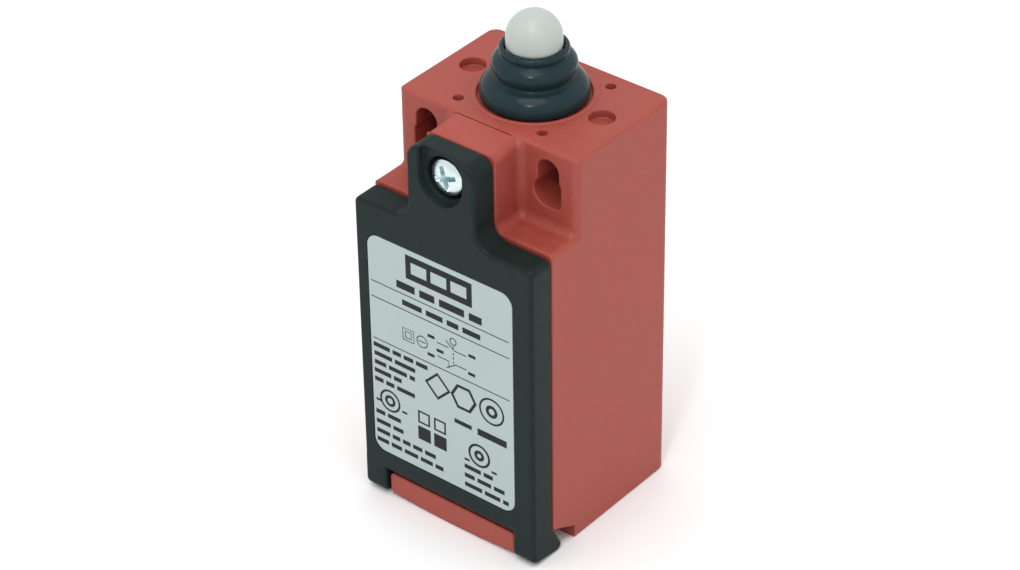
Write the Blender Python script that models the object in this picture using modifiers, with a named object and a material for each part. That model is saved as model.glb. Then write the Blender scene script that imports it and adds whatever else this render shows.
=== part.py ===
"""A plunger limit switch: moulded housing, hooked screw-down cover, sealed dome plunger and a
double-break contact block with four screw terminals.

Frame: origin under the middle of the object's box, +Z up along the plunger, the cover faces -Y.
Sizes are in millimetres and become metres in the helpers.
"""

import math

import bmesh
import bpy
from mathutils import Vector

MM = 0.001

# --- Housing -----------------------------------------------------------------------------------
HALF_WIDTH = 15.0
BACK_Y = 14.8
COVER_FRONT_Y = -14.8
JOINT_Y = -10.7  # middle of the seam between cover and housing
SEAM_GAP = 0.3
HOUSING_FRONT_Y = JOINT_Y + SEAM_GAP / 2
COVER_BACK_Y = JOINT_Y - SEAM_GAP / 2
TOP_Z = 60.5
TOP_FRONT_Y = -5.3  # front of the raised top block
SHOULDER_Z = 48.9
CORNER_R = 1.2  # front corners of the top and the foot of its face
EDGE_R = 1.3
GAP = 0.3  # clearance between touching pieces

# --- Chamber and cable entry -------------------------------------------------------------------
CHAMBER_HALF_X = 12.4
CHAMBER_BACK_Y = 12.3
CHAMBER_FLOOR_Z = 10.6
CHAMBER_ROOF_Z = 45.8
ENTRY_Y = 1.6
ENTRY_R = 9.25  # core radius of an M20 x 1.5 thread

# --- Mounting slots ----------------------------------------------------------------------------
SLOT_X = 9.95
SLOT_Z = 53.95
SLOT_R = 2.15  # clears an M4 screw
SLOT_STRETCH = 0.1
UPPER_SLOT_R = 1.75
UPPER_SLOT_X = 10.15
UPPER_SLOT_TOP_Z = 58.9
UPPER_SLOT_DEPTH = 4.0

# --- Screw boss and cover tab ------------------------------------------------------------------
BOSS_HALF_X = 5.7
BOSS_TOP_Z = 60.1
COVER_SCREW_Z = 56.35
TAB_HALF_X = 5.7
TAB_TOP_Z = 60.2
TAB_CORNER_R = 2.0
TAB_FILLET_R = 2.6
COVER_TOP_Z = 48.4
COVER_BOTTOM_Z = 4.6
COVER_WALL = 2.0
SKIRT_WALL = 1.0
ACCESS_R = 3.55  # half width of the open-topped slot that leads to the screw
ACCESS_DEPTH = 1.2

# --- Hooked feet of the cover ------------------------------------------------------------------
HINGE_Y = -9.8
HINGE_Z = 1.8
FOOT_INNER_X = 11.3
NOTCH_BACK_Y = -5.95
NOTCH_FRONT_Z = 4.3
NOTCH_BACK_Z = 2.2
LIP_FRONT_Y = -14.0
LIP_TOP_Z = 3.8

# --- Plunger and its boot ----------------------------------------------------------------------
AXIS_Y = 4.8
DOME_R = 3.8
DOME_Z = TOP_Z + 8.4
STEM_R = 2.5
STEM_END_Z = 44.9
SHOULDER_UNDER_Z = 64.6
BOOT_SEAT_R = 7.7
BOOT_SEAT_DEPTH = 0.5
BUSH_R = 5.0
BUSH_BOTTOM_Z = 50.3
BUSH_TOP_Z = 59.7

# --- Contact block -----------------------------------------------------------------------------
BLOCK_HALF_X = 11.9
BLOCK_FRONT_Y = 0.1
BLOCK_BACK_Y = 11.9
BLOCK_BOTTOM_Z = 13.5
BLOCK_TOP_Z = 43.9
BACK_PLATE_Y = 9.3
CHANNEL_HALF_X = 3.8
LOWER_WINDOW = (21.0, 28.6)
UPPER_WINDOW = (31.4, 38.1)
TERMINAL_X = 8.0
CONTACT_X = 5.7
LOWER_SCREW_Z = 17.6
UPPER_SCREW_Z = 41.2
STRIP_THICK = 0.8
NO_ARM_Z = 21.3  # underside of the normally open pair's arms
NC_ARM_Z = 37.0  # underside of the normally closed pair's arms
NO_BRIDGE_Z = 26.3
NC_BRIDGE_Z = 34.0
RIVET_R = 1.4

MATERIALS = {
    "red_plastic": ((0.42, 0.115, 0.09), 0.55, 0.0),
    "black_plastic": ((0.045, 0.07, 0.07), 0.5, 0.0),
    "label_film": ((0.5, 0.58, 0.58), 0.35, 0.0),
    "white_plastic": ((0.7, 0.75, 0.72), 0.3, 0.0),
    "black_rubber": ((0.012, 0.018, 0.02), 0.25, 0.0),
    "grey_plastic": ((0.16, 0.17, 0.18), 0.45, 0.0),
    "zinc_steel": ((0.62, 0.63, 0.62), 0.3, 1.0),
    "brass": ((0.7, 0.52, 0.25), 0.3, 1.0),
    "spring_steel": ((0.5, 0.5, 0.5), 0.3, 1.0),
    "silver": ((0.8, 0.79, 0.76), 0.2, 1.0),
    "nylon": ((0.75, 0.74, 0.68), 0.4, 0.0),
    "clear_plastic": ((0.6, 0.62, 0.62), 0.25, 0.0),
}


def clear_scene():
    for thing in list(bpy.data.objects):
        bpy.data.objects.remove(thing, do_unlink=True)


def new_collection(name):
    group = bpy.data.collections.new(name)
    bpy.context.scene.collection.children.link(group)
    return group


def new_material(name):
    color, roughness, metallic = MATERIALS[name]
    material = bpy.data.materials.new(name)
    material.use_nodes = True
    shader = material.node_tree.nodes["Principled BSDF"]
    shader.inputs["Base Color"].default_value = (*color, 1.0)
    shader.inputs["Roughness"].default_value = roughness
    shader.inputs["Metallic"].default_value = metallic
    return material


clear_scene()
PARTS = new_collection("limit_switch")
CUTTERS = new_collection("cutters")
LOOKS = {name: new_material(name) for name in MATERIALS}


# --- Helpers -----------------------------------------------------------------------------------
def add(name, mesh, location=(0.0, 0.0, 0.0)):
    """A mesh object in the parts collection, its origin at a point given in millimetres."""
    thing = bpy.data.objects.new(name, mesh)
    thing.location = Vector(location) * MM
    PARTS.objects.link(thing)
    return thing


def box(name, low, high, edge=0.0):
    """A box between two corners, its edges rounded by `edge`."""
    size = Vector(high) - Vector(low)
    shape = bmesh.new()
    bmesh.ops.create_cube(shape, size=1.0)
    bmesh.ops.scale(shape, vec=size * MM, verts=shape.verts)
    mesh = bpy.data.meshes.new(name)
    shape.to_mesh(mesh)
    shape.free()
    thing = add(name, mesh, (Vector(low) + Vector(high)) / 2)
    if edge:
        round_edges(thing, edge)
    return thing


def cylinder(name, start, length, radius, axis="Z", segments=24):
    """A cylinder from the middle of its first cap, `length` along +axis."""
    shape = bmesh.new()
    bmesh.ops.create_cone(
        shape,
        cap_ends=True,
        segments=segments,
        radius1=radius * MM,
        radius2=radius * MM,
        depth=length * MM,
    )
    bmesh.ops.translate(shape, vec=(0, 0, length * MM / 2), verts=shape.verts)
    mesh = bpy.data.meshes.new(name)
    shape.to_mesh(mesh)
    shape.free()
    thing = add(name, mesh, start)
    if axis == "Y":
        thing.rotation_euler = (-math.pi / 2, 0, 0)
    return thing


def solid_mesh(thing):
    """Replace an object by the mesh its modifiers make, closed and with its faces outward."""
    graph = bpy.context.evaluated_depsgraph_get()
    bpy.context.view_layer.update()
    mesh = bpy.data.meshes.new_from_object(thing.evaluated_get(graph))
    shape = bmesh.new()
    shape.from_mesh(mesh)
    bmesh.ops.remove_doubles(shape, verts=shape.verts, dist=0.005 * MM)
    bmesh.ops.recalc_face_normals(shape, faces=shape.faces)
    shape.to_mesh(mesh)
    shape.free()
    name = thing.name
    matrix = thing.matrix_world.copy()
    bpy.data.objects.remove(thing, do_unlink=True)
    made = add(name, mesh)
    made.matrix_world = matrix
    return made


def turned(name, profile, centre, axis="Z", segments=32, closed=False):
    """A profile of (radius, height) points turned about an axis, listed from top to bottom."""
    mesh = bpy.data.meshes.new(name)
    points = [(radius * MM, 0.0, height * MM) for radius, height in profile]
    edges = [(i, i + 1) for i in range(len(points) - 1)]
    if closed:
        edges.append((len(points) - 1, 0))
    mesh.from_pydata(points, edges, [])
    thing = add(name, mesh, centre)
    spin = thing.modifiers.new("turn", "SCREW")
    spin.axis = "Z"
    spin.steps = segments
    spin.render_steps = segments
    spin.use_merge_vertices = True
    spin.merge_threshold = 0.00001
    if axis == "Y":
        thing.rotation_euler = (-math.pi / 2, 0, 0)
    return solid_mesh(thing)


def extruded(name, outline, plane, low, high):
    """A flat outline given a thickness. Plane XZ runs along Y, YZ along X and XY along Z."""
    data = bpy.data.curves.new(name, "CURVE")
    data.dimensions = "2D"
    data.fill_mode = "BOTH"
    data.extrude = abs(high - low) / 2 * MM
    spline = data.splines.new("POLY")
    spline.points.add(len(outline) - 1)
    for point, (across, up) in zip(spline.points, outline):
        point.co = (across * MM, up * MM, 0.0, 1.0)
    spline.use_cyclic_u = True
    thing = bpy.data.objects.new(name, data)
    PARTS.objects.link(thing)
    middle = (low + high) / 2 * MM
    if plane == "XZ":
        thing.rotation_euler = (math.pi / 2, 0, 0)
        thing.location = (0, middle, 0)
    elif plane == "YZ":
        thing.rotation_euler = (math.pi / 2, 0, math.pi / 2)
        thing.location = (middle, 0, 0)
    else:
        thing.location = (0, 0, middle)
    return solid_mesh(thing)


def arc(centre, radius, start, end, steps):
    """Points of an arc, with its angles in degrees."""
    points = []
    for step in range(steps + 1):
        angle = math.radians(start + (end - start) * step / steps)
        points.append((centre[0] + radius * math.cos(angle), centre[1] + radius * math.sin(angle)))
    return points


def rounded_rectangle(low, high, radius, steps=4):
    """A rectangle's outline with four round corners, counter-clockwise."""
    corners = (
        ((high[0] - radius, high[1] - radius), 0),
        ((low[0] + radius, high[1] - radius), 90),
        ((low[0] + radius, low[1] + radius), 180),
        ((high[0] - radius, low[1] + radius), 270),
    )
    points = []
    for centre, start in corners:
        points += arc(centre, radius, start, start + 90, steps)
    return points


def round_edges(thing, width, segments=2):
    bevel = thing.modifiers.new("rounding", "BEVEL")
    bevel.width = width * MM
    bevel.segments = segments
    bevel.limit_method = "ANGLE"
    bevel.angle_limit = math.radians(40)


def round_chosen_edges(thing, chosen, width, segments=3):
    """Round only the edges whose two ends `chosen` accepts, in millimetres."""
    thing = solid_mesh(thing)
    world = thing.matrix_world
    shape = bmesh.new()
    shape.from_mesh(thing.data)
    bmesh.ops.dissolve_limit(
        shape, angle_limit=math.radians(0.5), verts=shape.verts, edges=shape.edges
    )
    weight = shape.edges.layers.float.new("bevel_weight_edge")
    for edge in shape.edges:
        ends = [world @ vertex.co / MM for vertex in edge.verts]
        if edge.calc_face_angle(0.0) > math.radians(20) and chosen(*ends):
            edge[weight] = 1.0
    shape.to_mesh(thing.data)
    shape.free()
    bevel = thing.modifiers.new("rounding", "BEVEL")
    bevel.width = width * MM
    bevel.segments = segments
    bevel.limit_method = "WEIGHT"
    return thing


def hide(helper):
    """Keep a cutter or a joined lump out of the parts."""
    PARTS.objects.unlink(helper)
    CUTTERS.objects.link(helper)
    helper.hide_render = True
    helper.display_type = "WIRE"


def combine(thing, helper, operation):
    modifier = thing.modifiers.new(helper.name, "BOOLEAN")
    modifier.operation = operation
    modifier.solver = "EXACT"
    modifier.object = helper
    hide(helper)


def cut(thing, *cutters):
    for cutter in cutters:
        combine(thing, cutter, "DIFFERENCE")


def join(thing, *lumps):
    for lump in lumps:
        combine(thing, lump, "UNION")


def finish(thing, look, smooth_angle=35.0):
    """Give a piece its material and its shading."""
    thing = solid_mesh(thing)
    thing.data.materials.clear()
    thing.data.materials.append(LOOKS[look])
    thing.data.shade_smooth()
    thing.data.set_sharp_from_angle(angle=math.radians(smooth_angle))
    return thing


def put_origin(thing, point):
    """Move a piece's origin to a point, in millimetres, and leave its shape where it is."""
    shift = Vector(point) * MM
    inverse = thing.matrix_world.copy()
    thing.data.transform(inverse)
    thing.matrix_world.identity()
    thing.data.transform(thing.matrix_world.Translation(-shift))
    thing.location = shift


def coil(name, centre, bottom, top, radius, wire, turns, look):
    """A compression spring of round wire around a vertical axis."""
    per_turn = 12
    data = bpy.data.curves.new(name, "CURVE")
    data.dimensions = "3D"
    data.bevel_depth = wire / 2 * MM
    data.bevel_resolution = 2
    data.use_fill_caps = True
    count = int(turns * per_turn) + 1
    spline = data.splines.new("POLY")
    spline.points.add(count - 1)
    low = bottom + wire / 2
    high = top - wire / 2
    for step, point in enumerate(spline.points):
        angle = 2 * math.pi * step / per_turn
        height = low + (high - low) * step / (count - 1)
        point.co = (radius * math.cos(angle) * MM, radius * math.sin(angle) * MM, height * MM, 1.0)
    thing = bpy.data.objects.new(name, data)
    thing.location = (centre[0] * MM, centre[1] * MM, 0.0)
    PARTS.objects.link(thing)
    thing = solid_mesh(thing)
    return finish(thing, look, 60.0)


# --- Housing -----------------------------------------------------------------------------------
def slot_outline(side):
    """Outline of a mounting slot: round towards the middle, upright on its outer side."""
    centre = (SLOT_X, SLOT_Z)
    points = arc(centre, SLOT_R, 90, 270, 10)
    outer = SLOT_X + SLOT_R + SLOT_STRETCH
    corner = 1.0
    points += arc((outer - corner, SLOT_Z - SLOT_R + corner), corner, 270, 360, 3)
    points += arc((outer - corner, SLOT_Z + SLOT_R - corner), corner, 0, 90, 3)
    return [(side * across, up) for across, up in points]


def upper_slot_outline(side):
    """The shallow narrower slot that runs up from the mounting slot."""
    points = arc((UPPER_SLOT_X, UPPER_SLOT_TOP_Z - UPPER_SLOT_R), UPPER_SLOT_R, 0, 180, 8)
    points += [(UPPER_SLOT_X - UPPER_SLOT_R, SLOT_Z), (UPPER_SLOT_X + UPPER_SLOT_R, SLOT_Z)]
    return [(side * across, up) for across, up in points]


def housing_block():
    """The outer block: plan outline with round back corners, less the two recesses at the top."""
    plan = [(HALF_WIDTH, HOUSING_FRONT_Y)]
    plan += arc((HALF_WIDTH - EDGE_R, BACK_Y - EDGE_R), EDGE_R, 0, 90, 4)
    plan += arc((-HALF_WIDTH + EDGE_R, BACK_Y - EDGE_R), EDGE_R, 90, 180, 4)
    plan += [(-HALF_WIDTH, HOUSING_FRONT_Y)]
    block = extruded("housing", plan, "XY", 0.0, TOP_Z)
    for side in (-1, 1):
        inner, outer = sorted((side * BOSS_HALF_X, side * (HALF_WIDTH + 1)))
        low = (inner, HOUSING_FRONT_Y - 1, SHOULDER_Z)
        cut(block, box(f"recess_{side}", low, (outer, TOP_FRONT_Y, TOP_Z + 1)))
    low = (-BOSS_HALF_X - 1, HOUSING_FRONT_Y - 1, BOSS_TOP_Z)
    cut(block, box("boss_top", low, (BOSS_HALF_X + 1, TOP_FRONT_Y, TOP_Z + 1)))

    def rounded_edge(first, second):
        middle = (first + second) / 2
        floor = abs(middle.z - SHOULDER_Z) < 0.1 and abs(middle.y - TOP_FRONT_Y) < 0.1
        boss_rim = abs(middle.z - BOSS_TOP_Z) < 0.1 and abs(abs(middle.x) - BOSS_HALF_X) < 0.1
        return floor or boss_rim

    block = round_chosen_edges(block, rounded_edge, CORNER_R)
    inner = HALF_WIDTH - CORNER_R
    for side in (-1, 1):
        corner = arc((inner, TOP_FRONT_Y + CORNER_R), CORNER_R, 0, -90, 5)
        corner += [(inner, TOP_FRONT_Y - 1), (HALF_WIDTH + 1, TOP_FRONT_Y - 1)]
        corner.append((HALF_WIDTH + 1, TOP_FRONT_Y + CORNER_R))
        corner = [(side * across, depth) for across, depth in corner]
        cut(block, extruded(f"corner_{side}", corner, "XY", SHOULDER_Z + CORNER_R, TOP_Z + 1))
    return block


def make_housing():
    housing = housing_block()
    low = (-CHAMBER_HALF_X, HOUSING_FRONT_Y - 5, CHAMBER_FLOOR_Z)
    cut(housing, box("chamber", low, (CHAMBER_HALF_X, CHAMBER_BACK_Y, CHAMBER_ROOF_Z)))
    cut(housing, cylinder("entry", (0, ENTRY_Y, -1), CHAMBER_FLOOR_Z + 2, ENTRY_R, segments=48))
    lip_half = FOOT_INNER_X - GAP
    lip = extruded(
        "lip",
        [
            (-lip_half, 0.7),
            (-lip_half + 5, 0.2),
            (-3.0, 0.0),
            (3.0, 0.0),
            (lip_half - 5, 0.2),
            (lip_half, 0.7),
            (lip_half, LIP_TOP_Z - 1.0),
            *arc((lip_half - 1.0, LIP_TOP_Z - 1.0), 1.0, 0, 90, 3)[1:],
            (-lip_half, LIP_TOP_Z),
        ],
        "XZ",
        LIP_FRONT_Y,
        HOUSING_FRONT_Y + 1,
    )
    join(housing, lip)
    notch = [
        (HOUSING_FRONT_Y - 2, NOTCH_FRONT_Z + 0.5),
        (HOUSING_FRONT_Y, NOTCH_FRONT_Z),
        (NOTCH_BACK_Y, NOTCH_BACK_Z),
        (NOTCH_BACK_Y, -1.0),
        (HOUSING_FRONT_Y - 2, -1.0),
    ]
    for side in (-1, 1):
        ends = sorted((side * (FOOT_INNER_X - GAP), side * (HALF_WIDTH + 1)))
        cut(housing, extruded(f"notch_{side}", notch, "YZ", *ends))
        cut(housing, extruded(f"slot_{side}", slot_outline(side), "XZ", TOP_FRONT_Y - 9, BACK_Y + 1))
        upper = upper_slot_outline(side)
        cut(
            housing,
            extruded(f"upper_{side}", upper, "XZ", TOP_FRONT_Y - 1, TOP_FRONT_Y + UPPER_SLOT_DEPTH),
        )
        cut(housing, cylinder(f"blind_{side}", (side * 10.8, AXIS_Y + 0.4, TOP_Z - 1.2), 2, 1.8))
        for end in (-1, 1):
            place = (side * 7.0, AXIS_Y + end * 7.2, TOP_Z - 2.5)
            cut(housing, cylinder(f"pin_hole_{side}_{end}", place, 4, 0.8, segments=12))
    axis = (0, AXIS_Y, CHAMBER_ROOF_Z - 1)
    cut(housing, cylinder("clip_bore", axis, 6, 4.3, segments=32))
    pocket = (0, AXIS_Y, BUSH_BOTTOM_Z - GAP)
    cut(housing, cylinder("bush_bore", pocket, 12, BUSH_R + GAP, segments=32))
    seat = (0, AXIS_Y, TOP_Z - BOOT_SEAT_DEPTH)
    cut(housing, cylinder("boot_seat", seat, 2, BOOT_SEAT_R, segments=48))
    screw = (0, HOUSING_FRONT_Y - 1, COVER_SCREW_Z)
    cut(housing, cylinder("washer_bore", screw, 5.05, 3.0, "Y", 24))
    cut(housing, cylinder("insert_bore", screw, 9.6, 2.6, "Y", 24))
    return finish(housing, "red_plastic")


def make_insert():
    """Knurled brass insert that takes the cover screw."""
    profile = [(1.85, 4.0), (2.1, 4.0), (2.3, 3.8), (2.3, 0.2), (2.1, 0.0), (1.85, 0.0)]
    insert = turned(
        "screw_insert", profile, (0, -6.2, COVER_SCREW_Z), "Y", 24, closed=True
    )
    return finish(insert, "brass")


# --- Cover -------------------------------------------------------------------------------------
def cover_outline():
    """Front outline of the plate and its tab, counter-clockwise from the lower right."""
    corner = 1.0
    points = [(HALF_WIDTH, COVER_BOTTOM_Z)]
    points += arc((HALF_WIDTH - corner, COVER_TOP_Z - corner), corner, 0, 90, 3)
    fillet = (TAB_HALF_X + TAB_FILLET_R, COVER_TOP_Z + TAB_FILLET_R)
    points += arc(fillet, TAB_FILLET_R, 270, 180, 5)
    points += arc((TAB_HALF_X - TAB_CORNER_R, TAB_TOP_Z - TAB_CORNER_R), TAB_CORNER_R, 0, 90, 5)
    return points + [(-across, up) for across, up in reversed(points)]


def foot_outline():
    """Side outline (y, z) of a hooked foot, with its round toe near the hinge axis."""
    points = [(COVER_FRONT_Y, COVER_BOTTOM_Z + 1.5), (COVER_FRONT_Y, 1.9)]
    points += arc((COVER_FRONT_Y + 1.3, 1.7), 1.3, 190, 262, 3)
    points += arc((-9.75, 1.05), 1.05, 270, 360, 4)
    points += [(COVER_BACK_Y + 0.9, 3.2), (COVER_BACK_Y, 4.4), (COVER_BACK_Y, COVER_BOTTOM_Z + 1.5)]
    return points


def make_cover():
    cover = extruded("cover", cover_outline(), "XZ", COVER_FRONT_Y, COVER_BACK_Y)

    def front_edge(first, second):
        at_front = abs(first.y - COVER_FRONT_Y) < 0.05 and abs(second.y - COVER_FRONT_Y) < 0.05
        return at_front and abs(first.z - second.z) + abs(first.x - second.x) > 0.2

    for side in (-1, 1):
        ends = sorted((side * FOOT_INNER_X, side * HALF_WIDTH))
        join(cover, extruded(f"foot_{side}", foot_outline(), "YZ", *ends))
    cover = round_chosen_edges(cover, front_edge, 0.6, 2)
    inside_y = COVER_FRONT_Y + COVER_WALL
    low = (-12.2, inside_y, 10.4)
    cut(cover, box("cover_inside", low, (12.2, COVER_BACK_Y + 1, 45.9)))
    low = (-11.2, COVER_FRONT_Y + SKIRT_WALL, COVER_BOTTOM_Z - 3)
    cut(cover, box("skirt_inside", low, (11.2, COVER_BACK_Y + 1, 7.8)))
    cut(cover, gasket_shape("gasket_groove", 1.6, COVER_BACK_Y - 1.1, COVER_BACK_Y + 1))
    screw = (0, COVER_FRONT_Y - 1, COVER_SCREW_Z)
    cut(cover, cylinder("counterbore", screw, 3.85, 3.15, "Y", 32))
    cut(cover, cylinder("screw_hole", screw, 6, 1.85, "Y", 24))
    access = arc((0, COVER_SCREW_Z), ACCESS_R, 180, 360, 14)
    access += [(ACCESS_R, TAB_TOP_Z + 1), (-ACCESS_R, TAB_TOP_Z + 1)]
    cut(cover, extruded("access", access, "XZ", COVER_FRONT_Y - 1, COVER_FRONT_Y + ACCESS_DEPTH))
    label_cut = extruded(
        "label_recess", label_outline(0.15), "XZ", COVER_FRONT_Y - 1, COVER_FRONT_Y + 0.3
    )
    cut(cover, label_cut)
    cover = finish(cover, "black_plastic")
    put_origin(cover, (0, HINGE_Y, HINGE_Z))
    return cover


def label_outline(grow=0.0):
    low = (-12.9 - grow, 7.9 - grow)
    high = (11.7 + grow, 43.5 + grow)
    return rounded_rectangle(low, high, 1.9 + grow, 4)


def make_label():
    label = extruded("label", label_outline(), "XZ", COVER_FRONT_Y, COVER_FRONT_Y + 0.2)
    return finish(label, "label_film")


def gasket_shape(name, width, low_y, high_y):
    """A rectangular ring that follows the rim of the cover."""
    half = width / 2
    outer = rounded_rectangle((-13.55 - half, 9.1 - half), (13.55 + half, 47.1 + half), 1.5, 3)
    ring = extruded(name, outer, "XZ", low_y, high_y)
    inner = rounded_rectangle((-13.55 + half, 9.1 + half), (13.55 - half, 47.1 - half), 1.0, 3)
    cut(ring, extruded(name + "_inner", inner, "XZ", low_y - 1, high_y + 1))
    return solid_mesh(ring)


def make_gasket():
    gasket = gasket_shape("cover_gasket", 1.0, COVER_BACK_Y - 0.8, COVER_BACK_Y + 0.1)
    return finish(gasket, "black_rubber")


def cross_recess(name, centre, size, depth, front_y):
    """Cutters for a cross recess in a screw head that faces -Y."""
    cutters = []
    for index, (half_x, half_z) in enumerate(((size, size * 0.24), (size * 0.24, size))):
        low = (centre[0] - half_x, front_y - 1, centre[1] - half_z)
        high = (centre[0] + half_x, front_y + depth, centre[1] + half_z)
        cutters.append(box(f"{name}_{index}", low, high))
    return cutters


def make_cover_screw():
    head_y = COVER_FRONT_Y + 1.0
    profile = [(0.0, 10.5), (1.1, 10.5), (1.5, 10.0), (1.5, 1.75), (2.7, 1.75)]
    profile += [(2.7, 0.6), (2.3, 0.18), (1.5, 0.0), (0.0, 0.0)]
    screw = turned("cover_screw", profile, (0, head_y, COVER_SCREW_Z), "Y", 24)
    cut(screw, *cross_recess("cover_cross", (0, COVER_SCREW_Z), 1.45, 1.1, head_y))
    screw = finish(screw, "zinc_steel")
    put_origin(screw, (0, head_y, COVER_SCREW_Z))
    return screw


def make_cover_washer():
    """Nylon washer that keeps the screw captive in the tab."""
    profile = [(1.6, 0.6), (2.5, 0.6), (2.5, 0.0), (1.6, 0.0)]
    washer = turned("captive_washer", profile, (0, -7.4, COVER_SCREW_Z), "Y", 24, closed=True)
    return finish(washer, "nylon")


# --- Plunger, boot and bush --------------------------------------------------------------------
def make_plunger():
    dome = arc((0, DOME_Z), DOME_R, 90, 0, 8)
    dome[0] = (0.0, DOME_Z + DOME_R)
    profile = dome + [
        (DOME_R, 67.9),
        (3.4, 67.6),
        (3.4, 66.9),
        (DOME_R, 66.6),
        (DOME_R, SHOULDER_UNDER_Z + 0.4),
        (DOME_R - 0.4, SHOULDER_UNDER_Z),
        (STEM_R, SHOULDER_UNDER_Z),
        (STEM_R, 50.0),
        (1.8, 50.0),
        (1.8, 49.3),
        (STEM_R, 49.3),
        (STEM_R, STEM_END_Z + 0.5),
        (STEM_R - 0.5, STEM_END_Z),
        (0.0, STEM_END_Z),
    ]
    plunger = turned("plunger", profile, (0, AXIS_Y, 0), segments=32)
    plunger = finish(plunger, "white_plastic")
    put_origin(plunger, (0, AXIS_Y, TOP_Z))
    return plunger


def make_clip():
    """Retaining clip in the stem's groove."""
    profile = [(2.1, 49.85), (3.7, 49.85), (3.7, 49.45), (2.1, 49.45)]
    clip = turned("plunger_clip", profile, (0, AXIS_Y, 0), segments=24, closed=True)
    cut(clip, box("clip_mouth", (-0.9, AXIS_Y, 49), (0.9, AXIS_Y + 5, 50.3)))
    return finish(clip, "spring_steel")


def make_bush():
    """Guide bush: a stem bore below and a spring pocket above."""
    profile = [
        (4.3, BUSH_TOP_Z),
        (BUSH_R, BUSH_TOP_Z),
        (BUSH_R, BUSH_BOTTOM_Z),
        (2.6, BUSH_BOTTOM_Z),
        (2.6, 52.9),
        (4.3, 52.9),
    ]
    bush = turned("guide_bush", profile, (0, AXIS_Y, 0), segments=32, closed=True)
    return finish(bush, "grey_plastic")


def boot_profile():
    """Outer skin from the lip down to the base flange, then the inner skin back up."""
    outer = [(4.15, 7.35), (4.55, 7.25), (4.7, 6.9), (4.55, 6.45), (4.5, 6.15)]
    outer += [(5.1, 5.75), (5.6, 5.2), (5.75, 4.6), (5.6, 4.0), (5.25, 3.45), (5.15, 3.0)]
    outer += [(6.1, 2.55), (6.8, 2.0), (7.25, 1.35), (7.35, 0.6), (7.2, -0.1), (7.0, -0.2)]
    inner = [(4.7, -0.2), (4.35, 1.4), (4.35, 3.4), (4.9, 4.2), (4.95, 4.8), (4.5, 5.4)]
    inner += [(4.1, 5.9)]
    return [(radius, TOP_Z + height) for radius, height in outer + inner]


def make_boot():
    boot = turned("boot", boot_profile(), (0, AXIS_Y, 0), segments=32, closed=True)
    return finish(boot, "black_rubber", 60.0)


# --- Contact block -----------------------------------------------------------------------------
def make_block_base():
    low = (-BLOCK_HALF_X, BLOCK_FRONT_Y, BLOCK_BOTTOM_Z)
    base = box("block_base", low, (BLOCK_HALF_X, BLOCK_BACK_Y, BLOCK_TOP_Z))
    low = (-CHANNEL_HALF_X, BLOCK_FRONT_Y - 1, BLOCK_BOTTOM_Z + 2)
    cut(base, box("channel", low, (CHANNEL_HALF_X, BACK_PLATE_Y, BLOCK_TOP_Z + 1)))
    for name, (bottom, top) in (("lower", LOWER_WINDOW), ("upper", UPPER_WINDOW)):
        low = (-BLOCK_HALF_X - 1, BLOCK_FRONT_Y - 1, bottom)
        cut(base, box(f"{name}_window", low, (BLOCK_HALF_X + 1, BACK_PLATE_Y - 0.5, top)))
    for side in (-1, 1):
        for name, height in (("low", LOWER_SCREW_Z), ("high", UPPER_SCREW_Z)):
            place = (side * TERMINAL_X, BLOCK_FRONT_Y - 1, height)
            cut(base, cylinder(f"thread_{name}_{side}", place, 7.5, 1.85, "Y", 16))
    return finish(base, "grey_plastic")


def make_block_lid():
    """Front frame that closes the channel and parts the four terminals."""
    low = (-3.9, -1.6, BLOCK_BOTTOM_Z + 0.5)
    lid = box("block_lid", low, (3.9, BLOCK_FRONT_Y - GAP, BLOCK_TOP_Z))
    low = (-BLOCK_HALF_X, -1.6, NO_ARM_Z + STRIP_THICK + 0.5)
    join(lid, box("lid_wing", low, (BLOCK_HALF_X, BLOCK_FRONT_Y - GAP, NC_ARM_Z - 0.5)))
    join(lid, box("lid_rib", (-0.6, -5.0, 15.0), (0.6, -1.0, 43.0)))
    join(lid, box("lid_cross_rib", (-11.0, -4.2, 29.0), (11.0, -1.0, 30.2)))
    return finish(lid, "clear_plastic")


def strip_outline(lower):
    """Side outline (y, z) of a terminal strip: an arm with a screw plate across its front."""
    back = BACK_PLATE_Y - 2.0
    front = BLOCK_FRONT_Y - GAP
    if lower:
        top, bottom, end = NO_ARM_Z + STRIP_THICK, NO_ARM_Z, BLOCK_BOTTOM_Z + 0.5
        return [
            (back, top),
            (front - STRIP_THICK, top),
            (front - STRIP_THICK, end),
            (front, end),
            (front, bottom),
            (back, bottom),
        ]
    top, bottom, end = NC_ARM_Z + STRIP_THICK, NC_ARM_Z, BLOCK_TOP_Z + 0.6
    return [
        (back, bottom),
        (back, top),
        (front, top),
        (front, end),
        (front - STRIP_THICK, end),
        (front - STRIP_THICK, bottom),
    ]


def make_terminals():
    """Four strips, fixed contacts, clamps and screws: 13-14 below and 21-22 above."""
    places = {"13": (-1, True), "14": (1, True), "21": (-1, False), "22": (1, False)}
    for number, (side, lower) in places.items():
        ends = sorted((side * 4.3, side * 11.5))
        strip = extruded(f"terminal_{number}", strip_outline(lower), "YZ", *ends)
        height = LOWER_SCREW_Z if lower else UPPER_SCREW_Z
        across = side * TERMINAL_X
        cut(strip, cylinder(f"strip_hole_{number}", (across, -3, height), 4, 1.85, "Y", 16))
        finish(strip, "brass")
        make_fixed_contact(number, side, lower)
        make_clamp(number, across, height)
        make_terminal_screw(number, across, height)


def make_fixed_contact(number, side, lower):
    if lower:
        start, length = NO_ARM_Z + STRIP_THICK + 0.05, 0.75
    else:
        start, length = NC_ARM_Z - 0.8, 0.75
    place = (side * CONTACT_X, AXIS_Y, start)
    rivet = cylinder(f"fixed_contact_{number}", place, length, RIVET_R, segments=20)
    finish(rivet, "silver")


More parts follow.
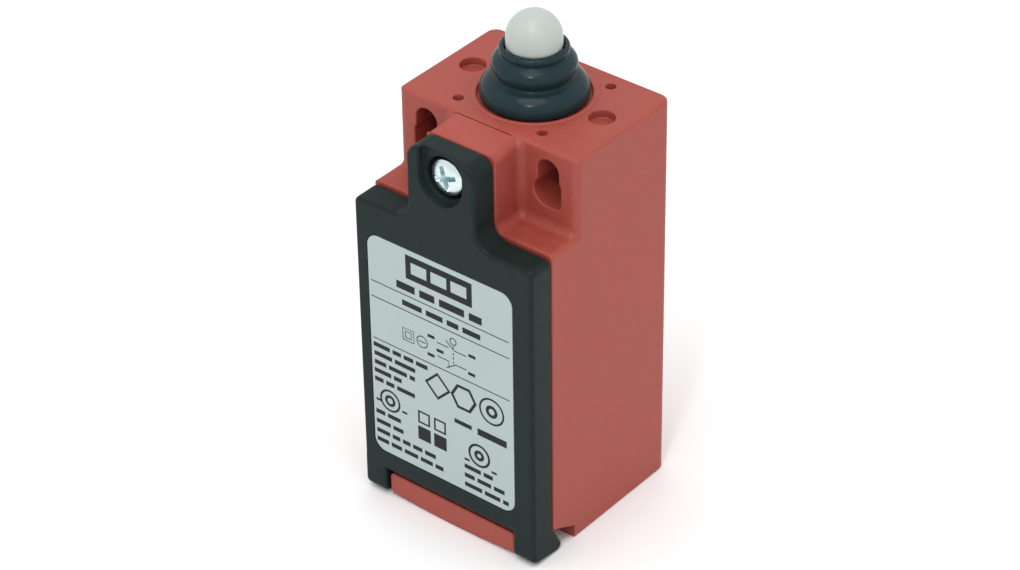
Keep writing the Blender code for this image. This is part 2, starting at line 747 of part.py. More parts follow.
def make_clamp(number, across, height):
    """Saddle clamp that presses the wire onto its strip."""
    low = (across - 3.1, -2.8, height - 2.9)
    clamp = box(f"clamp_{number}", low, (across + 3.1, -1.8, height + 2.9), 0.25)
    hole = cylinder(f"clamp_hole_{number}", (across, -4, height), 4, 1.65, "Y", 16)
    cut(clamp, hole)
    clamp = finish(clamp, "zinc_steel")
    put_origin(clamp, (across, -2.3, height))


def make_terminal_screw(number, across, height):
    head_y = -5.1
    profile = [(0.0, 10.6), (1.0, 10.6), (1.5, 10.1), (1.5, 2.0), (2.6, 2.0)]
    profile += [(2.6, 0.4), (2.3, 0.0), (0.0, 0.0)]
    screw = turned(f"terminal_screw_{number}", profile, (across, head_y, height), "Y", 20)
    cut(screw, *cross_recess(f"terminal_cross_{number}", (across, height), 1.6, 1.2, head_y))
    screw = finish(screw, "zinc_steel")
    put_origin(screw, (across, head_y, height))


# --- Moving contacts ---------------------------------------------------------------------------
def make_pusher():
    """Slides in the carrier's fork and drives it through the overtravel spring."""
    low = (-1.7, AXIS_Y - 1.8, 40.2)
    pusher = box("pusher", low, (1.7, AXIS_Y + 1.8, 44.6), 0.3)
    return finish(pusher, "nylon")


def make_carrier():
    low = (-3.3, AXIS_Y - 3.4, 21.0)
    carrier = box("contact_carrier", low, (3.3, AXIS_Y + 3.4, 41.8))
    low = (-2.0, AXIS_Y - 5, 36.0)
    cut(carrier, box("fork", low, (2.0, AXIS_Y + 5, 43)))
    for name, height in (("no", NO_BRIDGE_Z), ("nc", NC_BRIDGE_Z)):
        low = (-5, AXIS_Y - 2.4, height - GAP)
        cut(carrier, box(f"bridge_slot_{name}", low, (5, AXIS_Y + 2.4, height + 0.7 + GAP)))
    return finish(carrier, "black_plastic")


def make_bridges():
    """Two contact bridges with a silver rivet at each end."""
    for name, height, rivet_z in (
        ("no", NO_BRIDGE_Z, NO_BRIDGE_Z - 0.85),
        ("nc", NC_BRIDGE_Z, NC_BRIDGE_Z + 0.75),
    ):
        low = (-7.3, AXIS_Y - 2.0, height)
        bridge = box(f"bridge_{name}", low, (7.3, AXIS_Y + 2.0, height + 0.7), 0.15)
        finish(bridge, "brass")
        for side, end in ((-1, "left"), (1, "right")):
            place = (side * CONTACT_X, AXIS_Y, rivet_z)
            rivet = cylinder(f"moving_contact_{name}_{end}", place, 0.8, RIVET_R, segments=20)
            finish(rivet, "silver")


def make_springs():
    axis = (0, AXIS_Y)
    coil("plunger_spring", axis, 53.2, SHOULDER_UNDER_Z - GAP, 3.35, 0.7, 6.5, "spring_steel")
    coil("overtravel_spring", axis, 36.2, 40.0, 1.3, 0.35, 4.0, "spring_steel")
    coil("return_spring", axis, BLOCK_BOTTOM_Z + 2.2, 20.8, 2.2, 0.45, 4.5, "spring_steel")


make_housing()
make_insert()
make_cover()
make_label()
make_gasket()
make_cover_screw()
make_cover_washer()
make_plunger()
make_clip()
make_bush()
make_boot()
make_block_base()
make_block_lid()
make_terminals()
make_pusher()
make_carrier()
make_bridges()
make_springs()
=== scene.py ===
"""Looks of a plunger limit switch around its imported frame: moulded shells, printed label, rubber boot,
threaded screws, contact block and springs, each with its own procedural material.

Sizes are in millimetres, in the frame's own axes, and the helpers turn them into metres.
"""

import math
import random

import bmesh
import bpy
from mathutils import Matrix, Vector


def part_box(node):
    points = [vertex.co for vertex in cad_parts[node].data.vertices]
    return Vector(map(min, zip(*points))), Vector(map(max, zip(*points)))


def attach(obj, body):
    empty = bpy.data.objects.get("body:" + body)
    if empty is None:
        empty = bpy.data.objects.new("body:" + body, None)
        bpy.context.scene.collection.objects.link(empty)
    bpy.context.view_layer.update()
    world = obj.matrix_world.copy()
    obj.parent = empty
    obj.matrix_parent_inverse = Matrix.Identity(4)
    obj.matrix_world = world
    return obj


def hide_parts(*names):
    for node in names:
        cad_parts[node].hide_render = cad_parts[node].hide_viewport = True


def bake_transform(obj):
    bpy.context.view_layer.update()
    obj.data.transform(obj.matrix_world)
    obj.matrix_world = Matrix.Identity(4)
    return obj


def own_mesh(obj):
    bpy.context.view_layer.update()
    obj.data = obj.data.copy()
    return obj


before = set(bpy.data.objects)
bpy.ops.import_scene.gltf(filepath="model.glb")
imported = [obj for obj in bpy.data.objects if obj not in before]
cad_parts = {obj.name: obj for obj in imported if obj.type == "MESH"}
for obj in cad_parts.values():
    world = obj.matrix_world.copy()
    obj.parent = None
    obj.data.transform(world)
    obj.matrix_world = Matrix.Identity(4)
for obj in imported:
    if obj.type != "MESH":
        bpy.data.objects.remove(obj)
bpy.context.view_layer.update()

MM = 0.001
MERGE_MM = 0.0002  # points this near are one when a solid is made
WELD_MM = 0.002  # and before its edges are rounded
FLAT_ANGLE = 0.5  # faces that meet at less are one face
SHARP_ANGLE = 20  # edges that meet at more are rounded
SMOOTH_ANGLE = 32.0  # edges that meet at less are shaded smooth
ROUND_SMOOTH_ANGLE = 60.0


# --- Helpers: outlines ---
def extent(node):
    """Lowest and highest corner of a frame node, in millimetres."""
    low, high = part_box(node)
    return low / MM, high / MM


def arc(centre, radius, start, end, steps):
    """Points of an arc, its angles in degrees."""
    points = []
    for step in range(steps + 1):
        angle = math.radians(start + (end - start) * step / steps)
        points.append((centre[0] + radius * math.cos(angle), centre[1] + radius * math.sin(angle)))
    return points


def quarter_round(radius):
    """Pairs (sideways, inward) that carry a face through a quarter round into the next."""
    bends = [math.radians(angle) for angle in range(0, 91, 18)]
    return [(radius * (1 - math.sin(bend)), radius * (1 - math.cos(bend))) for bend in bends]


def levels(low, high, steps):
    """Evenly spaced values from low to high."""
    return [low + (high - low) * step / steps for step in range(steps + 1)]


def rounded(corners, steps=6):
    """An outline through corners (across, up, radius), each turned into an arc of its radius."""
    points = []
    count = len(corners)
    for index, (across, up, radius) in enumerate(corners):
        here = Vector((across, up))
        if not radius:
            points.append((across, up))
            continue
        back = (Vector(corners[index - 1][:2]) - here).normalized()
        ahead = (Vector(corners[(index + 1) % count][:2]) - here).normalized()
        half = back.angle(ahead) / 2
        reach = radius / math.tan(half)
        centre = here + (back + ahead).normalized() * (radius / math.sin(half))
        first = here + back * reach - centre
        last = here + ahead * reach - centre
        turn = math.atan2(first.cross(last), first.dot(last))
        for step in range(steps + 1):
            spot = centre + Matrix.Rotation(turn * step / steps, 2) @ first
            points.append((spot.x, spot.y))
    return points


def rectangle(low, high, radius=0.0, steps=6):
    """A rectangle's outline, counter-clockwise, with round corners."""
    corners = ((low[0], low[1]), (high[0], low[1]), (high[0], high[1]), (low[0], high[1]))
    return rounded([(*corner, radius) for corner in corners], steps)


def mirrored(half):
    """The outline whose right half runs upward, completed with its mirror image."""
    return half + [(-across, up) for across, up in reversed(half)]


def smooth_curve(points, steps=6):
    """A Catmull-Rom curve through (radius, height) points."""
    smooth = []
    padded = [points[0]] + list(points) + [points[-1]]
    for index in range(len(points) - 1):
        a, b, c, d = (Vector(padded[index + offset]) for offset in range(4))
        for step in range(steps):
            t = step / steps
            spot = 2 * b + (c - a) * t + (2 * a - 5 * b + 4 * c - d) * t**2
            spot += (3 * b - a - 3 * c + d) * t**3
            smooth.append(tuple(spot / 2))
    return smooth + [tuple(points[-1])]


# --- Helpers: solids ---
def linked(name, data):
    """A new object in the scene that shows the given data."""
    thing = bpy.data.objects.new(name, data)
    bpy.context.scene.collection.objects.link(thing)
    return thing


def mesh_object(name, shape):
    """A mesh object in the scene from a bmesh, its faces turned outward."""
    bmesh.ops.recalc_face_normals(shape, faces=shape.faces)
    mesh = bpy.data.meshes.new(name)
    shape.to_mesh(mesh)
    shape.free()
    return linked(name, mesh)


def loft(name, rings, closed=False):
    """A skin over rings of equally many points; its ends are capped unless it closes on itself."""
    shape = bmesh.new()
    rows = [[shape.verts.new(Vector(point) * MM) for point in ring] for ring in rings]
    pairs = list(zip(rows, rows[1:]))
    if closed:
        pairs.append((rows[-1], rows[0]))
    for first, second in pairs:
        for index in range(len(first)):
            shape.faces.new((first[index - 1], first[index], second[index], second[index - 1]))
    if not closed:
        shape.faces.new(rows[0])
        shape.faces.new(list(reversed(rows[-1])))
    bmesh.ops.remove_doubles(shape, verts=shape.verts, dist=MERGE_MM * MM)
    return mesh_object(name, shape)


def place(outline, plane, depth):
    """A flat outline's points in space: plane XZ at y, YZ at x, XY at z = depth."""
    if plane == "XZ":
        return [(across, depth, up) for across, up in outline]
    if plane == "YZ":
        return [(depth, across, up) for across, up in outline]
    return [(across, up, depth) for across, up in outline]


def prism(name, outline, plane, low, high):
    return loft(name, [place(outline, plane, low), place(outline, plane, high)])


def box(name, low, high, edge=0.0):
    thing = prism(name, rectangle(low, high), "XY", low[2], high[2])
    if edge:
        soften(thing, edge, 3)
    return thing


def ring_at(centre, axis, circle, height):
    """A circle's points about an upright axis, or one along +Y, at a height along it."""
    if axis == "Z":
        return [(centre[0] + x, centre[1] + y, centre[2] + height) for x, y in circle]
    return [(centre[0] + x, centre[1] + height, centre[2] + y) for x, y in circle]


def turned(name, profile, centre, axis="Z", segments=64, closed=False):
    """A profile of (radius, height) points turned about the axis."""
    rings = []
    for radius, height in profile:
        circle = [(radius * x, radius * y) for x, y in arc((0, 0), 1.0, 0, 360, segments)[:-1]]
        rings.append(ring_at(centre, axis, circle, height))
    return loft(name, rings, closed)


def drum(radius, bottom, top):
    """The profile of a plain cylinder."""
    return [(0.0, bottom), (radius, bottom), (radius, top), (0.0, top)]


def helical(centre, axis, heights, radius_at, segments):
    """Rings whose radius follows radius_at(angle share, height), for threads and knurls."""
    rings = []
    for height in heights:
        circle = []
        for step in range(segments):
            share = step / segments
            radius = radius_at(share, height)
            angle = 2 * math.pi * share
            circle.append((radius * math.cos(angle), radius * math.sin(angle)))
        rings.append(ring_at(centre, axis, circle, height))
    return rings


def coil(name, centre, bottom, top, radius, wire, turns):
    """A compression spring with most of each end turn laid flat."""
    per_turn = 40
    sides = 14
    laid_turn = 0.85
    flat = laid_turn / turns
    closed_pitch = wire * 1.02
    count = int(turns * per_turn)
    low = bottom + wire / 2
    high = top - wire / 2
    rings = []
    for step in range(count + 1):
        share = step / count
        rise = min(max((share - flat) / (1 - 2 * flat), 0.0), 1.0)
        laid = closed_pitch * (min(share, flat) + max(share - 1 + flat, 0.0)) / flat * laid_turn
        height = low + laid + rise * (high - low - 2 * closed_pitch * laid_turn)
        angle = 2 * math.pi * step / per_turn
        outward = Vector((math.cos(angle), math.sin(angle), 0))
        middle = Vector((centre[0], centre[1], height)) + outward * radius
        ring = []
        for side in range(sides):
            turn = 2 * math.pi * side / sides
            ring.append(middle + (outward * math.cos(turn) + Vector((0, 0, math.sin(turn)))) * wire / 2)
        rings.append(ring)
    return loft(name, rings)


def frame_ring(name, low, high, corner, section, steps=8):
    """A section of (outward, y) points carried round a rectangle with round corners."""
    rings = []
    for out, depth in section:
        grown_low = (low[0] - out, low[1] - out)
        grown_high = (high[0] + out, high[1] + out)
        outline = rectangle(grown_low, grown_high, corner + out, steps)
        rings.append(place(outline, "XZ", depth))
    return loft(name, rings, closed=True)


# --- Helpers: cutting and rounding ---
def settle(thing):
    """Make the modifiers' result the object's own mesh."""
    bpy.context.view_layer.update()
    graph = bpy.context.evaluated_depsgraph_get()
    mesh = bpy.data.meshes.new_from_object(thing.evaluated_get(graph))
    thing.modifiers.clear()
    thing.data = mesh
    return thing


def carve(thing, tools, operation="DIFFERENCE"):
    """Cut the tools out of the piece, or join them to it, and remove them."""
    for tool in tools:
        modifier = thing.modifiers.new(tool.name, "BOOLEAN")
        modifier.operation = operation
        modifier.solver = "EXACT"
        modifier.object = tool
    settle(thing)
    for tool in tools:
        bpy.data.objects.remove(tool, do_unlink=True)


def join(thing, lumps):
    carve(thing, lumps, "UNION")


def soften(thing, radius_of, segments=4):
    """Round sharp edges. radius_of is one radius, or gives it from an edge's middle and direction."""
    shape = bmesh.new()
    shape.from_mesh(thing.data)
    bmesh.ops.remove_doubles(shape, verts=shape.verts, dist=WELD_MM * MM)
    limit = math.radians(FLAT_ANGLE)
    bmesh.ops.dissolve_limit(shape, angle_limit=limit, verts=shape.verts, edges=shape.edges)
    weights = shape.edges.layers.float.new("bevel_weight_edge")
    radii = {}
    for edge in shape.edges:
        if edge.calc_face_angle(0.0) < math.radians(SHARP_ANGLE):
            continue
        first, second = (vertex.co / MM for vertex in edge.verts)
        if callable(radius_of):
            radii[edge] = radius_of((first + second) / 2, (second - first).normalized())
        else:
            radii[edge] = radius_of
    largest = max(radii.values())
    for edge, radius in radii.items():
        edge[weights] = radius / largest
    shape.to_mesh(thing.data)
    shape.free()
    bevel = thing.modifiers.new("rounding", "BEVEL")
    bevel.width = largest * MM
    bevel.segments = segments
    bevel.limit_method = "WEIGHT"
    bevel.use_clamp_overlap = False
    return settle(thing)


def near(value, target, reach=0.02):
    return abs(value - target) < reach


# --- Helpers: handing a piece to the frame ---
def shade(thing, look, smooth_angle):
    thing.data.materials.clear()
    thing.data.materials.append(LOOKS[look])
    thing.data.shade_smooth()
    thing.data.set_sharp_from_angle(angle=math.radians(smooth_angle))
    normals = thing.modifiers.new("weighted_normals", "WEIGHTED_NORMAL")
    normals.keep_sharp = True


def hand_over(thing, body, node, slot, look=None, smooth_angle=SMOOTH_ANGLE):
    """Shade a piece and let it ride its body in place of a frame node. Its slot names its look."""
    shade(thing, look or slot, smooth_angle)
    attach(thing, body)
    if node:
        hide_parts(node)


# --- Materials ---
class Look:
    """A Principled material with short calls for the nodes that vary it."""

    def __init__(self, name, roughness, **sockets):
        self.material = bpy.data.materials.new(name)
        self.material.use_nodes = True
        self.nodes = self.material.node_tree.nodes
        self.links = self.material.node_tree.links
        self.shader = self.nodes["Principled BSDF"]
        self.shader.inputs["Roughness"].default_value = roughness
        for socket, value in sockets.items():
            self.shader.inputs[socket.replace("_", " ")].default_value = value
        self.place = self.nodes.new("ShaderNodeTexCoord").outputs["Object"]

    def node(self, kind, values):
        """A new node with values set on its sockets."""
        made = self.nodes.new(f"ShaderNode{kind}")
        for socket, value in values.items():
            made.inputs[socket].default_value = value
        return made

    def noise(self, size_mm, detail, stretch=(1, 1, 1), roughness=0.5):
        """Noise whose blotches are about size_mm wide, longer along an axis with stretch above 1."""
        scaling = self.node("Mapping", {"Scale": [1 / (size_mm * MM * along) for along in stretch]})
        self.links.new(self.place, scaling.inputs["Vector"])
        texture = self.node("TexNoise", {"Scale": 1.0, "Detail": detail, "Roughness": roughness})
        self.links.new(scaling.outputs["Vector"], texture.inputs["Vector"])
        return texture.outputs["Fac"]

    def spread(self, source, low, high, out_low, out_high):
        """Stretch a value's range low..high to out_low..out_high."""
        ranges = {"From Min": low, "From Max": high, "To Min": out_low, "To Max": out_high}
        node = self.node("MapRange", ranges)
        self.links.new(source, node.inputs["Value"])
        return node.outputs["Result"]

    def blend(self, share, first, second):
        """A colour mixed from two, each a colour or another node's output, by a share."""
        node = self.nodes.new("ShaderNodeMix")
        node.data_type = "RGBA"
        self.links.new(share, node.inputs["Factor"])
        for socket, colour in ((node.inputs[6], first), (node.inputs[7], second)):
            if isinstance(colour, tuple):
                socket.default_value = (*colour, 1.0)
            else:
                self.links.new(colour, socket)
        return node.outputs[2]

    def bump(self, source, depth_mm, strength=1.0, under=None):
        node = self.node("Bump", {"Strength": strength, "Distance": depth_mm * MM})
        self.links.new(source, node.inputs["Height"])
        if under is not None:
            self.links.new(under, node.inputs["Normal"])
        return node.outputs["Normal"]

    def edges(self):
        """A share that rises on convex edges, where a highlight is painted into the colour."""
        geometry = self.nodes.new("ShaderNodeNewGeometry")
        return self.spread(geometry.outputs["Pointiness"], 0.51, 0.6, 0.0, 1.0)

    def use(self, socket, source):
        self.links.new(source, self.shader.inputs[socket])


def scaled(colour, factor):
    return tuple(channel * factor for channel in colour)


def moulded_plastic(name, colour, roughness, grain_mm, grain_depth, contrast, **sockets):
    """Spark-eroded moulded plastic: fine grain, faint mottling and a painted highlight along convex edges.
    """
    look = Look(name, roughness, **sockets)
    mottling = look.noise(1.7, 4.0)
    speckle = look.noise(grain_mm * 1.6, 3.0)
    darker, lighter = scaled(colour, 1 - contrast), scaled(colour, 1 + contrast)
    base = look.blend(look.spread(mottling, *NOISE_RANGE, 0.0, 1.0), darker, lighter)
    flecked = look.blend(look.spread(speckle, 0.4, 0.7, 0.0, 0.45), base, scaled(colour, 0.7))
    # painted highlight: convex edges are lightened towards a paler copy of the colour, as if light caught
    # them
    painted_edge_highlight = look.spread(look.edges(), 0.0, 1.0, 0.0, 0.3)
    look.use("Base Color", look.blend(painted_edge_highlight, flecked, scaled(colour, 1.35)))
    look.use("Roughness", look.spread(mottling, *NOISE_RANGE, roughness - 0.05, roughness + 0.07))
    grain = look.bump(look.noise(grain_mm, 2.0), grain_depth)
    look.use("Normal", look.bump(look.noise(6.0, 1.0), 0.03, 0.5, grain))
    return look.material


def drifting(name, roughness, cloud, colours, dullness, relief=None, fleck=None, **sockets):
    """A look whose colour and roughness drift with one cloud of noise.

    relief is a noise, its depth and strength. fleck is a noise, its low and high, the most it
    shows and its colour.
    """
    look = Look(name, roughness, **sockets)
    clouds = look.noise(*cloud)
    base = look.blend(clouds, *colours)
    if fleck:
        noise, low, high, most, colour = fleck
        base = look.blend(look.spread(look.noise(*noise), low, high, 0.0, most), base, colour)
    look.use("Base Color", base)
    look.use("Roughness", look.spread(clouds, *NOISE_RANGE, *dullness))
    if relief:
        noise, depth_mm, strength = relief
        look.use("Normal", look.bump(look.noise(*noise), depth_mm, strength))
    return look.material


def plunger_plastic():
    """Acetal, a little translucent, with turning rings."""
    sockets = {"Subsurface_Weight": 0.35, "Subsurface_Scale": 0.0012, "IOR": 1.48}
    look = Look("plunger_acetal", 0.33, **sockets)
    look.shader.inputs["Subsurface Radius"].default_value = (1.0, 0.95, 0.85)
    cloud = look.noise(2.2, 3.0)
    look.use("Base Color", look.blend(cloud, (0.425, 0.47, 0.44), (0.46, 0.505, 0.475)))
    look.use("Roughness", look.spread(look.noise(0.5, 3.0), *NOISE_RANGE, 0.28, 0.4))
    rings = look.noise(0.35, 2.0, (8, 8, 0.25))
    look.use("Normal", look.bump(rings, 0.004, 0.5))
    return look.material


def metal(name, colour, tarnish, roughness, streak, bump_mm):
    """Bare or plated metal with drawn streaks and patches of duller plating."""
    streak_depth = 0.22
    look = Look(name, roughness, Metallic=1.0)
    patch = look.noise(1.1, 4.0, roughness=0.6)
    lines = look.noise(0.12, 3.0, streak)
    look.use("Base Color", look.blend(look.spread(patch, 0.4, 0.75, 0.0, 0.6), colour, tarnish))
    mixed = look.node("Math", {1: streak_depth, 2: roughness - streak_depth / 2})
    mixed.operation = "MULTIPLY_ADD"
    look.links.new(lines, mixed.inputs[0])
    look.use("Roughness", mixed.outputs["Value"])
    look.use("Normal", look.bump(lines, bump_mm, 0.6))
    return look.material


def floor_paint():
    look = Look("studio_floor", 0.9)
    look.use("Base Color", look.blend(look.noise(60.0, 2.0), (0.93, 0.93, 0.93), (0.95, 0.95, 0.95)))
    return look.material


NOISE_RANGE = (0.3, 0.7)  # most of a noise's values lie between these
EVEN = (1, 1, 1)
RED = (0.335, 0.054, 0.036)
NEAR_BLACK = (0.0095, 0.0195, 0.018)
LOOKS = {
    "red_plastic": moulded_plastic("red_moulding", RED, 0.54, 0.2, 0.014, 0.07, Specular_IOR_Level=0.5),
    "black_plastic": moulded_plastic(
        "dark_moulding", NEAR_BLACK, 0.46, 0.18, 0.012, 0.16, Specular_IOR_Level=0.13
    ),
    "carrier": moulded_plastic("carrier_moulding", (0.02, 0.021, 0.022), 0.4, 0.2, 0.006, 0.1),
    "label_film": drifting(
        "label_film",
        0.38,
        cloud=(9.0, 2.0),
        colours=((0.385, 0.46, 0.465), (0.41, 0.485, 0.485)),
        dullness=(0.33, 0.43),
        relief=((0.5, 2.0), 0.003, 0.6),
        fleck=((0.12, 2.0), 0.4, 0.8, 0.12, (0.35, 0.425, 0.43)),
        Specular_IOR_Level=0.3,
    ),
    "ink": drifting(
        "label_ink",
        0.45,
        cloud=(0.35, 3.0),
        colours=((0.006, 0.008, 0.009), (0.02, 0.024, 0.026)),
        dullness=(0.38, 0.55),
        Specular_IOR_Level=0.15,
    ),
    "white_plastic": plunger_plastic(),
    "black_rubber": drifting(
        "boot_rubber",
        0.22,
        cloud=(1.2, 4.0),
        colours=((0.008, 0.023, 0.027), (0.015, 0.034, 0.040)),
        dullness=(0.15, 0.26),
        relief=((0.4, 3.0), 0.008, 0.5),
        fleck=((0.22, 4.0, EVEN, 0.7), 0.62, 0.85, 0.25, (0.05, 0.06, 0.06)),
        Specular_IOR_Level=0.16,
    ),
    "grey_plastic": moulded_plastic("grey_moulding", (0.17, 0.18, 0.19), 0.45, 0.18, 0.008, 0.06),
    "zinc_steel": metal("zinc_plate", (0.71, 0.82, 0.83), (0.56, 0.65, 0.67), 0.27, EVEN, 0.003),
    "brass": metal("brass_strip", (0.78, 0.58, 0.27), (0.55, 0.38, 0.17), 0.3, (1, 12, 1), 0.003),
    "spring_steel": metal("spring_wire", (0.5, 0.5, 0.49), (0.3, 0.29, 0.28), 0.28, (6, 6, 1), 0.002),
    "silver": metal("silver_contact", (0.86, 0.84, 0.8), (0.62, 0.58, 0.52), 0.24, EVEN, 0.002),
    "nylon": drifting(
        "natural_nylon",
        0.42,
        cloud=(1.5, 3.0),
        colours=((0.70, 0.68, 0.60), (0.78, 0.76, 0.69)),
        dullness=(0.36, 0.5),
        relief=((0.2, 2.0), 0.004, 0.6),
        Subsurface_Weight=0.25,
        Subsurface_Scale=0.001,
    ),
    "clear_plastic": drifting(
        "clear_moulding",
        0.18,
        cloud=(2.5, 3.0),
        colours=((0.72, 0.76, 0.76), (0.84, 0.87, 0.86)),
        dullness=(0.12, 0.26),
        relief=((3.0, 1.0), 0.02, 0.4),
        IOR=1.49,
        Transmission_Weight=0.75,
    ),
}

# --- Sizes that the frame gives ---
HOUSING_LOW, HOUSING_HIGH = extent("housing")
COVER_LOW, COVER_HIGH = extent("cover")
PLUNGER_LOW, PLUNGER_HIGH = extent("plunger")
SCREW_LOW, SCREW_HIGH = extent("cover_screw")
LABEL_LOW, LABEL_HIGH = extent("label")
BASE_LOW, BASE_HIGH = extent("block_base")
HALF_WIDTH = HOUSING_HIGH.x
BACK_Y = HOUSING_HIGH.y
TOP_Z = HOUSING_HIGH.z
LIP_FRONT_Y = HOUSING_LOW.y
COVER_FRONT_Y = COVER_LOW.y
TAB_TOP_Z = COVER_HIGH.z
DOME_R = (PLUNGER_HIGH.x - PLUNGER_LOW.x) / 2
AXIS_Y = (PLUNGER_HIGH.y + PLUNGER_LOW.y) / 2
COVER_SCREW_Z = (SCREW_LOW.z + SCREW_HIGH.z) / 2

# --- Sizes of the mouldings ---
HOUSING_FRONT_Y = -10.55
BACK_CORNER_R = 1.6
COVER_BACK_Y = -10.85
TOP_FRONT_Y = -5.3
SHOULDER_Z = 48.9
BOSS_HALF_X = 5.7
CHAMBER_HALF_X = 12.4
CHAMBER_BACK_Y = 12.3
CHAMBER_FLOOR_Z = 10.6
CHAMBER_ROOF_Z = 45.8
ENTRY_Y = 1.6
ENTRY_CORE_R = 9.25
ENTRY_MAJOR_R = 10.0
ENTRY_PITCH = 1.5
THREAD_STEPS = 12  # in each turn of a thread
SLOT_X = 9.95
SLOT_Z = 53.95
SLOT_R = 2.15
SLOT_OUTER_X = 12.2
UPPER_SLOT_X = 10.15
UPPER_SLOT_R = 1.75
UPPER_SLOT_TOP_Z = 58.9
UPPER_SLOT_DEPTH = 4.0
BOOT_SEAT_R = 7.7
INSERT_FRONT_Y = -6.2
LIP_PROUD = 0.2
FOOT_INNER_X = 11.3
CLEARANCE = 0.3
COVER_TOP_Z = 48.4
COVER_BOTTOM_Z = 4.6
COVER_EDGE_R = 0.55
PRINT_PROUD = 0.012
LABEL_GAP = 0.12
GASKET_LOW = (-13.55, 9.1)
GASKET_HIGH = (13.55, 47.1)
ACCESS_R = 3.55


# --- Housing ---
def block_radius(middle, along):
    """Rounding of the housing block's edges."""
    upright = abs(along.z) > 0.9
    at_side = near(abs(middle.x), HALF_WIDTH)
    at_boss = near(abs(middle.x), BOSS_HALF_X)
    at_step = near(middle.y, TOP_FRONT_Y)
    at_front = near(middle.y, HOUSING_FRONT_Y)
    if upright:
        if at_step:
            return 1.2
        return 0.25
    if near(middle.z, TOP_Z):
        return 1.4 if at_boss else 0.25 if at_front else 0.5
    if near(middle.z, SHOULDER_Z):
        if at_side:
            return 0.9
        return 0.3 if at_front else 1.2
    return 0.35


def slot_outline(side, grow):
    """A mounting slot: round towards the middle, upright with small corners on its outer side."""
    points = arc((SLOT_X, SLOT_Z), SLOT_R + grow, 90, 270, 24)
    outer = SLOT_OUTER_X + grow
    reach = SLOT_R + grow
    corner = 1.0
    points += arc((outer - corner, SLOT_Z - reach + corner), corner, 270, 360, 6)
    points += arc((outer - corner, SLOT_Z + reach - corner), corner, 0, 90, 6)
    return [(side * across, up) for across, up in points]


def upper_slot_outline(side, grow):
    """The blind narrower slot that runs up from the mounting slot."""
    radius = UPPER_SLOT_R + grow
    points = arc((UPPER_SLOT_X, UPPER_SLOT_TOP_Z - UPPER_SLOT_R), radius, 0, 180, 24)
    points += [(UPPER_SLOT_X - radius, SLOT_Z), (UPPER_SLOT_X + radius, SLOT_Z)]
    return [(side * across, up) for across, up in points]


def flared_cutter(name, outline_of, side, mouths, low, high):
    """A cutter along Y whose outline flares softly at each mouth it has."""
    flare = 0.22
    ends = []
    for mouth, edge, inward in (("front", low, 1), ("back", high, -1)):
        rings = []
        if mouth in mouths:
            rings.append(place(outline_of(side, flare), "XZ", edge - inward))
            for grow, sink in quarter_round(flare):
                rings.append(place(outline_of(side, grow), "XZ", edge + inward * sink))
        else:
            rings.append(place(outline_of(side, 0.0), "XZ", edge))
        ends.append(rings)
    return loft(name, ends[0] + ends[1][::-1])


def hole_profile(radius, depth):
    """A blind hole's cutter with a rounded rim and floor corner."""
    rim = 0.15
    floor = 0.12
    points = [(0.0, -depth), (radius - floor, -depth), (radius, -depth + floor)]
    points += [(radius, -rim), (radius + rim * 0.3, -rim * 0.3)]
    return points + [(radius + rim, 0.0), (radius + rim, 1.0), (0.0, 1.0)]


def housing_lip():
    """The red lip between the cover's feet, its lower edge bowed."""
    half = FOOT_INNER_X - CLEARANCE
    top = 3.8
    bow = 0.6
    bow_radius = (half**2 + bow**2) / (2 * bow)
    swing = math.degrees(math.asin(half / bow_radius))
    outline = arc((0, bow_radius), bow_radius, 270 - swing, 270 + swing, 20)
    corner = 0.6
    outline += arc((half - corner, top - corner), corner, 0, 90, 6)
    outline += arc((-half + corner, top - corner), corner, 90, 180, 6)
    front = LIP_FRONT_Y - LIP_PROUD
    lip = prism("lip", outline, "XZ", front, HOUSING_FRONT_Y + 1)
    return soften(lip, lambda middle, along: 0.25 if near(middle.y, front) else 0.0, 3)


def catches():
    """Four barbs on the chamber's side walls that hold the contact block."""
    made = []
    for side in (-1, 1):
        outline = [(12.6, -0.15), (11.65, -0.15), (11.65, -0.6), (12.6, -2.8)]
        outline = [(side * across, depth) for across, depth in outline]
        for bottom in (14.8, 39.2):
            made.append(prism(f"catch_{side}_{bottom}", outline, "XY", bottom, bottom + 1.8))
    return made


def top_details():
    """Seat ring round the boot and ribs in the chamber, joined to the shell."""
    ring = [(7.3, -0.3), (8.35, -0.3), (8.35, 0.04), (8.2, 0.12), (7.95, 0.14), (7.72, 0.06), (7.72, -0.2)]
    made = [turned("seat_ring", ring, (0, AXIS_Y, TOP_Z), segments=96, closed=True)]
    for side in (-1, 1):
        for bottom in (21.5, 35.5):
            low, high = sorted((side * 11.9, side * (CHAMBER_HALF_X + 0.5)))
            made.append(box(f"rib_{side}_{bottom}", (low, -9.4, bottom), (high, -3.2, bottom + 0.9), 0.15))
    bead = ((0.0, -0.5), (0.0, 0.0), (0.12, 0.1), (0.3, 0.14), (0.48, 0.1), (0.6, 0.0), (0.6, -0.5))
    section = [(out, HOUSING_FRONT_Y - proud) for out, proud in bead]
    made.append(frame_ring("sealing_bead", (-13.25, 9.4), (13.25, 46.8), 1.1, section))
    return made


